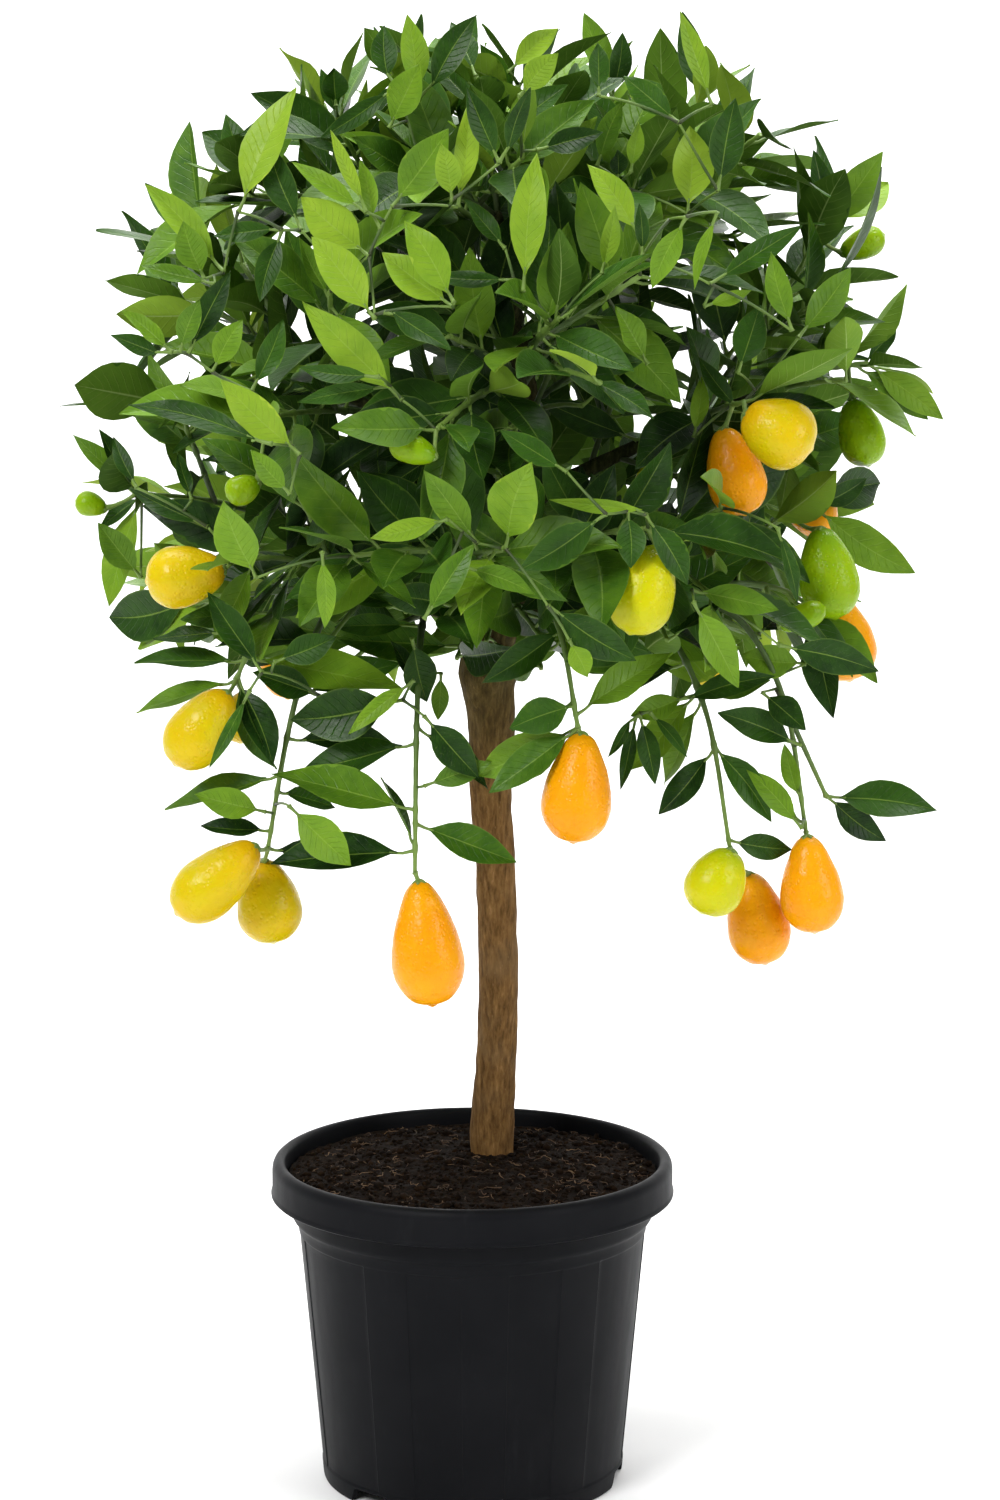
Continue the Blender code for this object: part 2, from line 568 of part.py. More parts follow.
def join_stalks(fruits, twigs, wood):
    """Runs each fruit's stalk to just short of the nearest twig of its spray, or of its limb."""
    for fruit in fruits.values():
        if fruit["from"] in wood:
            path, radii = wood[fruit["from"]]
            flat = math.cos(math.pi / LIMB_SIDES)
            carriers = [(path, [radius * flat for radius in radii])]
        else:
            carriers = [(twig["path"], radii_of(twig)) for twig in twigs[fruit["from"]]]
        near = []
        for path, radii in carriers:
            share = nearest_on(path, fruit["stem"])
            point, _ = along(path, share)
            radius = radii[int(share * (len(path) - 1))]
            near.append(((point - fruit["stem"]).length, point, radius))
        _, point, radius = min(near, key=lambda found: found[0])
        away = (fruit["stem"] - point).normalized()
        fruit["joint"] = point + away * (radius + JOINT_GAP) * MM


def stalk_path(fruit):
    """From the joint at the twig to a little way inside the fruit."""
    axis = (fruit["tip"] - fruit["stem"]).normalized()
    return [fruit["joint"], fruit["stem"] + axis * STALK_DEPTH * MM]


def facing(direction, outward, turn):
    """The normal of a blade that runs this way and faces up and out, turned about its length."""
    wish = UP * 0.75 + outward * 0.85
    normal = wish - direction * wish.dot(direction)
    if normal.length < 0.05:
        normal = across_of(direction)
    return Quaternion(direction, turn) @ normal.normalized()


def leaf_of(base, direction, outward, length, draw, turn=0.0, width_share=LEAF_WIDTH_SHARE):
    return {
        "base": base,
        "direction": direction,
        "normal": facing(direction, outward, turn),
        "length": length,
        "width": length * width_share * draw.uniform(0.92, 1.10),
        "arch": draw.uniform(0.04, 0.20),
        "fold": math.radians(draw.uniform(8, 26)),
        "shade": draw.random(),
    }


def single_leaf(twig, row, draw):
    """A leaf between two places in the front view, from the point of the twig shown nearest."""
    base_across, base_down, tip_across, tip_down, further, turn = row
    seen = Vector((base_across, base_down))
    shares = [i / 60 for i in range(61)]
    share = min(shares, key=lambda s: (seen_from_front(along(twig["path"], s)[0]) - seen).length)
    base, _ = along(twig["path"], share)
    tip = at(tip_across, tip_down, base.y / MM + further)
    direction = (tip - base).normalized()
    length = (tip - base).length / MM
    leaf = leaf_of(base, direction, TO_FRONT, length, draw, math.radians(turn), 0.37)
    leaf["arch"] = 0.05
    return leaf


def outside_crown(point):
    away = point - CROWN_MIDDLE
    shares = [abs(a / half) ** CROWN_ROUNDNESS for a, half in zip(away, CROWN_HALF)]
    return away.z > -0.1 and sum(shares) > 1.0


def rule_leaf(twig, share, clock, draw):
    """A leaf that the twig's spiral of buds gives at this share of its length."""
    base, run = along(twig["path"], share)
    side = across_of(run)
    radial = Quaternion(run, clock) @ side
    outward = (base - CROWN_MIDDLE).normalized()
    lean = 0.35 + 0.75 * share * share
    direction = (run * lean + radial * 0.9 + outward * 0.25 + UP * 0.10).normalized()
    length = twig["length"] * draw.uniform(0.82, 1.22)
    while length > SHORTEST_LEAF and outside_crown(base + direction * length * MM):
        length -= 3.0
    return leaf_of(base + radial * 0.4 * MM, direction, outward, length, draw, draw.uniform(-0.5, 0.5))


def leaf_tries(leaf):
    """The leaf as placed, then turned and tipped clear by growing amounts, then shorter."""
    yield leaf
    side = leaf["direction"].cross(leaf["normal"]).normalized()
    for size in (14, 28, 42, 58):
        for axis in (leaf["normal"], side):
            for way in (1, -1):
                swing = Quaternion(axis, math.radians(way * size))
                yield {**leaf, "direction": swing @ leaf["direction"], "normal": swing @ leaf["normal"]}
    for size in (0, 30, 55):
        for way in (1, -1):
            swing = Quaternion(leaf["normal"], math.radians(way * size))
            yield {
                **leaf,
                "direction": swing @ leaf["direction"],
                "length": leaf["length"] * 0.72,
                "width": leaf["width"] * 0.72,
            }


def grow_leaves(twigs, twig_trees, wood, fruits):
    """Leaves of every spray, single ones first, then by rule, each clear of all other nodes."""
    bark = []
    for name, (path, radii) in wood.items():
        bark.append(tube(path, [radius + WOOD_ROOM for radius in radii], wood_sides(name)))
    fixed = [tree_of(bark)]
    for fruit in fruits.values():
        fixed.append(tree_of([fruit_shape(fruit), tube(stalk_path(fruit), STALK_ROOM, STALK_SIDES)]))
    jobs = []
    for order in (0, 1):
        for spray, rows in twigs.items():
            draw = random.Random(f"{SEED} {spray} {order}")
            for k, twig in enumerate(rows):
                if order == 0:
                    for row in SINGLE_LEAVES.get((spray, k), ()):
                        jobs.append((spray, single_leaf(twig, row, draw)))
                elif twig["leaves"]:
                    clock = draw.uniform(0, math.tau)
                    for i in range(twig["leaves"]):
                        share = 1.0 - 0.68 * (i / max(twig["leaves"] - 1, 1)) ** 0.9
                        jobs.append((spray, rule_leaf(twig, share, clock + i * GOLDEN_TURN, draw)))
    leaves = {spray: [] for spray in twigs}
    leaf_trees = {spray: [] for spray in twigs}
    for spray, leaf in jobs:
        others = fixed + [tree for name, tree in twig_trees.items() if name != spray]
        for name, trees in leaf_trees.items():
            if name != spray:
                others += trees
        tries = [(tried, leaf_shape(tried, LEAF_TRY_MARGIN)) for tried in leaf_tries(leaf)]
        clear = [tried for tried, outer in tries if not meets(outer, others)]
        apart = [tried for tried in clear if not meets(leaf_shape(tried, WOOD_ROOM), leaf_trees[spray])]
        chosen = (apart or clear or [None])[0]
        if chosen is None:
            continue
        leaves[spray].append(chosen)
        leaf_trees[spray].append(tree_of([leaf_shape(chosen)]))
    return leaves


# Solids


def material(name, colour, roughness):
    made = bpy.data.materials.new(name)
    made.use_nodes = True
    shader = made.node_tree.nodes["Principled BSDF"]
    shader.inputs["Base Color"].default_value = (*colour, 1.0)
    shader.inputs["Roughness"].default_value = roughness
    return made


def solid(name, shape, kind, smooth):
    """An object of this shape with a material of its own."""
    points, faces = shape
    mesh = bpy.data.meshes.new(name)
    mesh.from_pydata([tuple(p) for p in points], [], faces)
    tidy = bmesh.new()
    tidy.from_mesh(mesh)
    bmesh.ops.recalc_face_normals(tidy, faces=tidy.faces)
    tidy.to_mesh(mesh)
    tidy.free()
    made = bpy.data.objects.new(name, mesh)
    bpy.context.scene.collection.objects.link(made)
    colour, roughness = COLOURS[kind]
    made.data.materials.append(material(name, colour, roughness))
    for face in mesh.polygons:
        face.use_smooth = smooth
    return made


def apply_boolean(made, operation, others, solver):
    """One Boolean on a collection of the other shapes, which are then removed."""
    group = bpy.data.collections.new("joined")
    bpy.context.scene.collection.children.link(group)
    helpers = []
    for i, (points, faces) in enumerate(others):
        helper = solid(f"joined_{i}", (points, faces), "trunk", False)
        bpy.context.scene.collection.objects.unlink(helper)
        group.objects.link(helper)
        helpers.append(helper)
    modifier = made.modifiers.new("joined", "BOOLEAN")
    modifier.operation = operation
    modifier.operand_type = "COLLECTION"
    modifier.collection = group
    modifier.solver = solver
    graph = bpy.context.evaluated_depsgraph_get()
    result = bpy.data.meshes.new_from_object(made.evaluated_get(graph))
    made.modifiers.clear()
    materials = [m for m in made.data.materials]
    made.data = result
    result.materials.clear()
    result.materials.append(materials[0])
    for face in result.polygons:
        face.material_index = 0
    for helper in helpers:
        bpy.data.objects.remove(helper)
    bpy.data.collections.remove(group)


def pot_columns():
    """Angles in degrees of the pot's columns, with a pair at each panel edge."""
    angles = []
    for third in range(3):
        start = PATTERN_MIDDLE + 120.0 * third
        angles += [start + edge for edges in PANEL_EDGES for edge in edges]
        angles += [start + filler for filler in FILLER_ANGLES]
    return sorted(angle % 360.0 for angle in angles)


def front_turn(radius, angle, height):
    """A point at this radius, turned from the front towards the right, in millimetres."""
    turn = math.radians(angle)
    return Vector((radius * math.sin(turn), -radius * math.cos(turn), height)) * MM


def body_radius(height):
    return POT_BODY_FOOT_RADIUS + POT_BODY_SLOPE * height


def pot_shape():
    columns = pot_columns()
    rings = POT_UNDER + POT_OUTER_FOOT + POT_OUTER_HEAD + POT_INNER
    points = [front_turn(radius, angle, height) for radius, height in rings for angle in columns]
    count = len(columns)
    faces = ring_faces(len(rings), count)
    faces.append(tuple(reversed(range(count))))
    faces.append(tuple(range(len(points) - count, len(points))))
    return points, faces


def panel_shape(first, last, third):
    """A cutter for one shallow panel, its inner face in step with the pot's columns."""
    fillers = [angle for angle in FILLER_ANGLES if first < angle < last]
    angles = [PATTERN_MIDDLE + 120.0 * third + angle for angle in [first, *fillers, last]]
    points = []
    for angle in angles:
        for height in (PANEL_BOTTOM, PANEL_TOP):
            points.append(front_turn(body_radius(height) - PANEL_DEPTH, angle, height))
            points.append(front_turn(body_radius(height) + 3.0, angle, height))
    faces = [(0, 2, 3, 1)]
    for i in range(len(angles) - 1):
        a = 4 * i
        faces += [(a, a + 1, a + 5, a + 4), (a + 1, a + 3, a + 7, a + 5)]
        faces += [(a + 3, a + 2, a + 6, a + 7), (a + 2, a, a + 4, a + 6)]
    a = 4 * len(angles) - 4
    faces.append((a, a + 1, a + 3, a + 2))
    return points, faces


def notch_shape(angle):
    """A cutter for one foot notch, which reaches under the floor."""
    half = NOTCH_WIDTH / 2
    points = []
    for height, top in ((-1.0, 1.0), (NOTCH_HEIGHT, 0.72)):
        for radius, spread in ((NOTCH_INNER_RADIUS, half), (NOTCH_OUTER_RADIUS, half)):
            points.append(front_turn(radius, angle - spread * top, height))
            points.append(front_turn(radius, angle + spread * top, height))
    faces = [(0, 1, 3, 2), (4, 6, 7, 5), (0, 4, 5, 1), (2, 3, 7, 6), (0, 2, 6, 4), (1, 5, 7, 3)]
    return points, faces


def soil_shape():
    draw = random.Random(SEED)
    points = []
    rings = SOIL_SIDE + SOIL_TOP
    for i, (radius, height) in enumerate(rings):
        for k in range(SOIL_SIDES):
            bump = draw.uniform(-SOIL_BUMP, SOIL_BUMP) if i >= len(SOIL_SIDE) else 0.0
            points.append(front_turn(radius, 360.0 * k / SOIL_SIDES, height + bump))
    faces = ring_faces(len(rings), SOIL_SIDES)
    faces.append(tuple(reversed(range(SOIL_SIDES))))
    middle = len(points)
    points.append(Vector((0.0, 0.0, SOIL_MIDDLE_HEIGHT * MM)))
    last = middle - SOIL_SIDES
    for k in range(SOIL_SIDES):
        faces.append((last + k, last + (k + 1) % SOIL_SIDES, middle))
    return points, faces


def build_pot():
    pot = solid("pot", pot_shape(), "pot", True)
    angles = [NOTCH_MIDDLE + 360.0 / NOTCH_COUNT * k for k in range(NOTCH_COUNT)]
    cutters = [notch_shape(angle) for angle in angles]
    cutters += [panel_shape(*edges, third) for edges in PANEL_EDGES for third in range(3)]
    apply_boolean(pot, "DIFFERENCE", cutters, "EXACT")


def build_soil(foot):
    soil = solid("soil", soil_shape(), "soil", True)
    path = [foot - UP * (HOLE_DEPTH + JOINT_GAP) * MM, foot + UP * HOLE_TOP * MM]
    radius = TRUNK[0][3] + 2 * JOINT_GAP
    apply_boolean(soil, "DIFFERENCE", [tube(path, [radius, radius], TRUNK_SIDES)], "EXACT")


def build_trunk(wood):
    path, radii = wood["trunk"]
    buried = [path[0] - UP * HOLE_DEPTH * MM] + path
    slim = [radii[0] - STUMP_SLACK] + radii
    trunk = solid("trunk", tube(buried, slim, TRUNK_SIDES), "trunk", True)
    others = [tube(*wood[name], wood_sides(name)) for name in wood if name != "trunk"]
    apply_boolean(trunk, "UNION", others, "MANIFOLD")


def build_spray(name, twigs, leaves):
    first = twigs[0]
    spray = solid(name, tube(first["path"], radii_of(first), TWIG_SIDES), "leaf", False)
    others = [tube(twig["path"], radii_of(twig), TWIG_SIDES) for twig in twigs[1:]]
    others += [leaf_shape(leaf) for leaf in leaves]
    apply_boolean(spray, "UNION", others, "MANIFOLD")


def build_fruit(name, fruit):
    made = solid(name, fruit_shape(fruit), name.split("_")[1], True)
    stalk = tube(stalk_path(fruit), [STALK_RADIUS, STALK_RADIUS * STALK_FLARE], STALK_SIDES)
    apply_boolean(made, "UNION", [stalk], "MANIFOLD")


def clear_scene():
    for old in list(bpy.data.objects):
        bpy.data.objects.remove(old)


def grow():
    """Everything that has a place on the tree."""
    wood = grow_wood()
    fruits = place_fruits()
    twigs, twig_trees = grow_twigs(wood, fruits)
    join_stalks(fruits, twigs, wood)
    leaves = grow_leaves(twigs, twig_trees, wood, fruits)
    return wood, twigs, fruits, leaves


def main():
    clear_scene()
    wood, twigs, fruits, leaves = grow()
    foot = wood["trunk"][0][0]
    build_pot()
    build_soil(foot)
    build_trunk(wood)
    for name, rows in twigs.items():
        build_spray(name, rows, leaves[name])
    for name, fruit in fruits.items():
        build_fruit(name, fruit)


main()
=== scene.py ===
"""Looks of a potted limequat tree: pot, soil, bark, twigs, leaves and fruits in fine detail."""

import math
import random

import bmesh
import bpy
import numpy as np
from mathutils import Matrix, Quaternion, Vector, noise
from mathutils.bvhtree import BVHTree


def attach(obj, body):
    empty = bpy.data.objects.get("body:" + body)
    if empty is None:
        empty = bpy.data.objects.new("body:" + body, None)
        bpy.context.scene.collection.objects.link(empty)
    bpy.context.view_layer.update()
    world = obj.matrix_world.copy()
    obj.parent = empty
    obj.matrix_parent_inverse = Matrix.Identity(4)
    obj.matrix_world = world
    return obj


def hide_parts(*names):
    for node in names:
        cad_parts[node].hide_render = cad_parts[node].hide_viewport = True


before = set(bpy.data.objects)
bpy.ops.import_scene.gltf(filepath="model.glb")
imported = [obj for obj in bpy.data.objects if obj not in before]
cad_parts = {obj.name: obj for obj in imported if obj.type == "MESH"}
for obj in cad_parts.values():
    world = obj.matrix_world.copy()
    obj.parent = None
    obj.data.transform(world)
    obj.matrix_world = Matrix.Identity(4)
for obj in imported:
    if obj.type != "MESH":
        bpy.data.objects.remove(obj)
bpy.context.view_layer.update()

# Units, directions, and the turn from one bud of a twig to the next

MM = 0.001
UP = Vector((0.0, 0.0, 1.0))
TO_FRONT = Vector((0.0, -1.0, 0.0))
GOLDEN_TURN = math.radians(137.5)
SEED = 7

# Front view. Places on the tree are given as (across, down, depth): where the front view, 1000
# wide and 1500 high, shows them, and how many millimetres they lie behind the pot's axis.
VIEW_EYE = Vector((0.0152, -2.0, 0.727))
VIEW_PITCH = math.radians(9.1)
VIEW_REACH = 3739.0
VIEW_MIDDLE = (500.0, 750.0)
VIEW_HEIGHT = 1500.0
SENSOR_WIDTH = 36.0

# Crown and growth, in millimetres unless named otherwise
CROWN_MIDDLE = Vector((18.0, 0.0, 598.0)) * MM
CROWN_HALF = Vector((236.0, 232.0, 200.0)) * MM
CROWN_ROUNDNESS = 2.5
SHORTEST_LEAF = 40.0
JOINT_GAP = 0.3
TIGHT_ROOM = 0.15
LOOSE_ROOM = 0.7
FRUIT_ROOM = 0.6
WOOD_ROOM = 0.3
TWIG_SHIFTS = (10, 20, 32, 46)
BEND_STEPS = 3
TWIG_SIDES = 4
TWIG_ROOT_RADIUS = 1.7
TWIG_TIP_RADIUS = 0.9
FORKED_TWIG_SHARE = 0.8
OFF_WOOD_STEPS = 200
OFF_WOOD_STEP = 0.1
STALK_DEPTH = 3.0
STALK_ROOM = (1.2, 1.8)
STALK_SIDES = 4
LEAF_THICKNESS = 1.4
LEAF_WIDTH_SHARE = 0.42
LEAF_TRY_MARGIN = 0.9
LEAF_SWINGS = (14, 28, 42, 58)
SHORT_LEAF_SWINGS = (0, 30, 55)
SHORT_LEAF_SHARE = 0.72
PATH_SHARES = 60
LEAF_ROWS = ((0.12, 0.0), (0.38, 0.47), (0.68, 0.42))
PETIOLE_HALF_WIDTH = 0.85
LEAF_ROOT_DEPTH = 1.0

# Pot, in millimetres and in degrees from the front
POT_BODY_FOOT_RADIUS = 83.0
POT_BODY_SLOPE = 0.0918
PANEL_BOTTOM = 10.0
PANEL_TOP = 140.0
PANEL_DEPTH = 0.9
PATTERN_MIDDLE = 4.5
PANEL_EDGES = ((7.6, 26.0), (41.6, 78.4), (94.0, 112.4))
NOTCH_MIDDLE = 18.0
NOTCH_COUNT = 6
NOTCH_WIDTH = 21.0
NOTCH_INNER_RADIUS = 70.0
NOTCH_OUTER_RADIUS = 92.0
NOTCH_HEIGHT = 8.4

# Soil, in millimetres: rings of its side as radius and height, and the depth of the trunk's hole
SOIL_SIDE = ((80.8, 8.6), (94.5, 158.2), (101.2, 163.7))
HOLE_DEPTH = 90.0

# Trunk: places from the soil up, with the radius in millimetres at each
TRUNK_SIDES = 10
TRUNK = (
    (492, 1131, 30, 11.6), (496, 1060, 26, 11.0), (498, 1000, 22, 11.0), (497, 900, 16, 10.8),
    (491, 800, 10, 11.3), (491, 720, 7, 12.6), (487, 668, 5, 15.5), (490, 632, 4, 12.5),
)
LEADER = (
    (488, 655, 4, 12.0), (508, 600, 2, 9.4), (520, 530, 0, 8.0), (528, 503, 0, 8.8),
    (528, 440, 0, 7.0), (525, 390, 0, 6.2), (514, 340, 0, 5.2), (506, 285, 0, 4.2), (510, 225, 0, 3.0),
)
LEADER_SIDES = 7
LIMB_SIDES = 5

# Limbs: what they grow from, how far along it, a place they bend towards, and their end
LIMBS = {
    "low_left": ("leader", 0.06, (420, 600, -28), (300, 585, -72)),
    "low_right": ("leader", 0.08, (585, 590, -35), (700, 592, -70)),
    "back_left": ("leader", 0.05, (395, 560, 55), (270, 515, 75)),
    "back_right": ("leader", 0.12, (600, 560, 60), (712, 505, 90)),
    "low_front": ("leader", 0.10, (492, 585, -55), (498, 560, -112)),
    "low_back": ("leader", 0.14, (505, 560, 85), (500, 490, 145)),
    "mid_left": ("leader", 0.42, (430, 430, -20), (285, 370, -20)),
    "mid_right": ("leader", 0.38, (640, 440, -12), (765, 392, 0)),
    "mid_front": ("leader", 0.50, (522, 410, -80), (520, 360, -140)),
    "mid_back": ("leader", 0.52, (535, 390, 70), (522, 330, 135)),
    "top_left": ("leader", 0.76, (445, 255, 0), (355, 205, -12)),
    "top_right": ("leader", 0.72, (590, 275, 0), (682, 212, 0)),
    "top_front": ("leader", 0.80, (508, 260, -50), (498, 215, -92)),
    "top_back": ("leader", 0.80, (514, 250, 50), (522, 195, 92)),
}
LIMB_ROOT_RADIUS = 4.6
LIMB_TIP_RADIUS = 2.2

# Sprays. Each is a node: its twigs, the first from a limb and the others from the first, as
# (grows from, how far along, end, reach, rise in mm, leaves by rule, mean leaf length in mm).
# A reach near 1 goes out level and then hangs; 0.5 runs straight but for its rise.
SPRAYS = {
    "spray_top_left": (("top_left", 0.60, (400, 84, -20), 0.5, 6, 5, 55),),
    "spray_top_mid": (
        ("leader", 0.97, (518, 84, -10), 0.5, 5, 5, 57),
        ("", 0.30, (448, 92, 25), 0.5, 0, 4, 57),
    ),
    "spray_top_right": (
        ("top_right", 0.55, (612, 96, 12), 0.5, 5, 3, 55),
        ("", 0.25, (704, 104, -10), 0.6, 8, 3, 57),
        ("", 0.25, (738, 160, 35), 0.5, 0, 2, 59),
    ),
    "spray_right_up": (
        ("mid_right", 0.72, (832, 222, 0), 0.5, 0, 5, 59),
        ("", 0.35, (826, 296, -45), 0.5, 0, 4, 61),
    ),
    "spray_right": (("mid_right", 0.98, (868, 364, 10), 0.5, 8, 4, 59),),
    "spray_right_front": (("mid_right", 0.60, (744, 402, -122), 0.6, 8, 4, 61),),
    "spray_right_mid": (("low_right", 0.86, (818, 506, -35), 0.5, 10, 3, 61),),
    "spray_right_low": (("low_right", 0.97, (812, 606, -55), 0.6, 14, 4, 61),),
    "spray_hang_right": (("low_right", 0.62, (730, 848, -92), 0.8, 18, 0, 53),),
    "spray_hang_far_right": (
        ("low_right", 0.92, (806, 832, -75), 0.85, 14, 0, 53),
        ("", 0.60, (826, 796, -52), 0.5, 0, 0, 55),
    ),
    "spray_hang_middle": (("low_front", 0.72, (578, 728, -135), 0.75, 16, 1, 55),),
    "spray_hang_left_middle": (("low_left", 0.42, (415, 872, -122), 0.85, 16, 0, 57),),
    "spray_hang_left": (("low_left", 0.84, (268, 848, -100), 0.6, 20, 0, 57),),
    "spray_left_low": (("low_left", 0.97, (236, 680, -84), 0.6, 12, 2, 59),),
    "spray_left_front": (("low_left", 0.70, (232, 562, -96), 0.5, 8, 4, 61),),
    "spray_far_left": (
        ("back_left", 0.97, (136, 494, -12), 0.5, 6, 3, 55),
        ("", 0.45, (178, 404, -25), 0.5, 0, 4, 63),
    ),
    "spray_left_mid": (
        ("mid_left", 0.97, (176, 300, 25), 0.5, 6, 5, 59),
        ("", 0.35, (204, 236, -12), 0.5, 0, 4, 59),
    ),
    "spray_left_high": (
        ("top_left", 0.97, (250, 196, -40), 0.5, 6, 5, 61),
        ("", 0.25, (338, 118, 0), 0.5, 0, 3, 59),
    ),
    "spray_front_left": (
        ("mid_left", 0.62, (262, 420, -142), 0.6, 8, 4, 63),
        ("", 0.40, (330, 292, -150), 0.5, 0, 5, 65),
    ),
    "spray_front_high": (
        ("top_front", 0.95, (424, 176, -122), 0.5, 6, 5, 63),
        ("", 0.25, (522, 158, -132), 0.5, 0, 5, 63),
    ),
    "spray_front_high_right": (
        ("top_right", 0.80, (624, 186, -118), 0.6, 6, 5, 63),
        ("", 0.45, (692, 168, -92), 0.5, 0, 4, 61),
    ),
    "spray_front_middle": (
        ("mid_front", 0.97, (560, 318, -185), 0.5, 4, 5, 63),
        ("", 0.30, (640, 276, -150), 0.5, 0, 5, 61),
    ),
    "spray_front_middle_left": (("mid_front", 0.82, (436, 430, -186), 0.5, 8, 5, 63),),
    "spray_front_low": (
        ("low_front", 0.97, (352, 556, -158), 0.5, 8, 5, 65),
        ("", 0.20, (505, 548, -186), 0.5, 0, 4, 63),
    ),
    "spray_front_low_right": (("low_front", 0.86, (648, 528, -150), 0.5, 8, 5, 63),),
    "spray_front_right": (
        ("low_right", 0.50, (722, 508, -132), 0.5, 8, 5, 63),
        ("", 0.40, (712, 596, -128), 0.6, 4, 4, 63),
    ),
    "spray_back_low": (
        ("low_back", 0.90, (400, 590, 150), 0.5, 8, 4, 63),
        ("", 0.20, (610, 590, 155), 0.5, 8, 4, 63),
        ("", 0.20, (500, 500, 196), 0.5, 0, 4, 63),
    ),
    "spray_back_left": (
        ("back_left", 0.82, (220, 520, 130), 0.5, 6, 4, 63),
        ("", 0.25, (290, 590, 145), 0.6, 8, 4, 63),
        ("", 0.25, (250, 400, 135), 0.5, 0, 4, 63),
    ),
    "spray_back_right": (
        ("back_right", 0.95, (790, 500, 120), 0.5, 6, 4, 63),
        ("", 0.20, (700, 590, 145), 0.6, 8, 4, 63),
        ("", 0.20, (770, 420, 120), 0.5, 0, 4, 63),
    ),
    "spray_back_middle": (
        ("mid_back", 0.97, (440, 330, 196), 0.5, 4, 4, 63),
        ("", 0.20, (600, 360, 192), 0.5, 0, 4, 63),
        ("", 0.20, (515, 250, 175), 0.5, 0, 4, 63),
    ),
    "spray_back_high": (
        ("top_back", 0.97, (450, 140, 115), 0.5, 4, 4, 61),
        ("", 0.20, (600, 140, 115), 0.5, 0, 4, 61),
        ("", 0.20, (690, 230, 140), 0.6, 6, 4, 61),
    ),
    "spray_back_high_left": (
        ("top_left", 0.80, (340, 230, 130), 0.5, 4, 4, 61),
        ("", 0.45, (262, 300, 115), 0.5, 0, 4, 61),
    ),
}

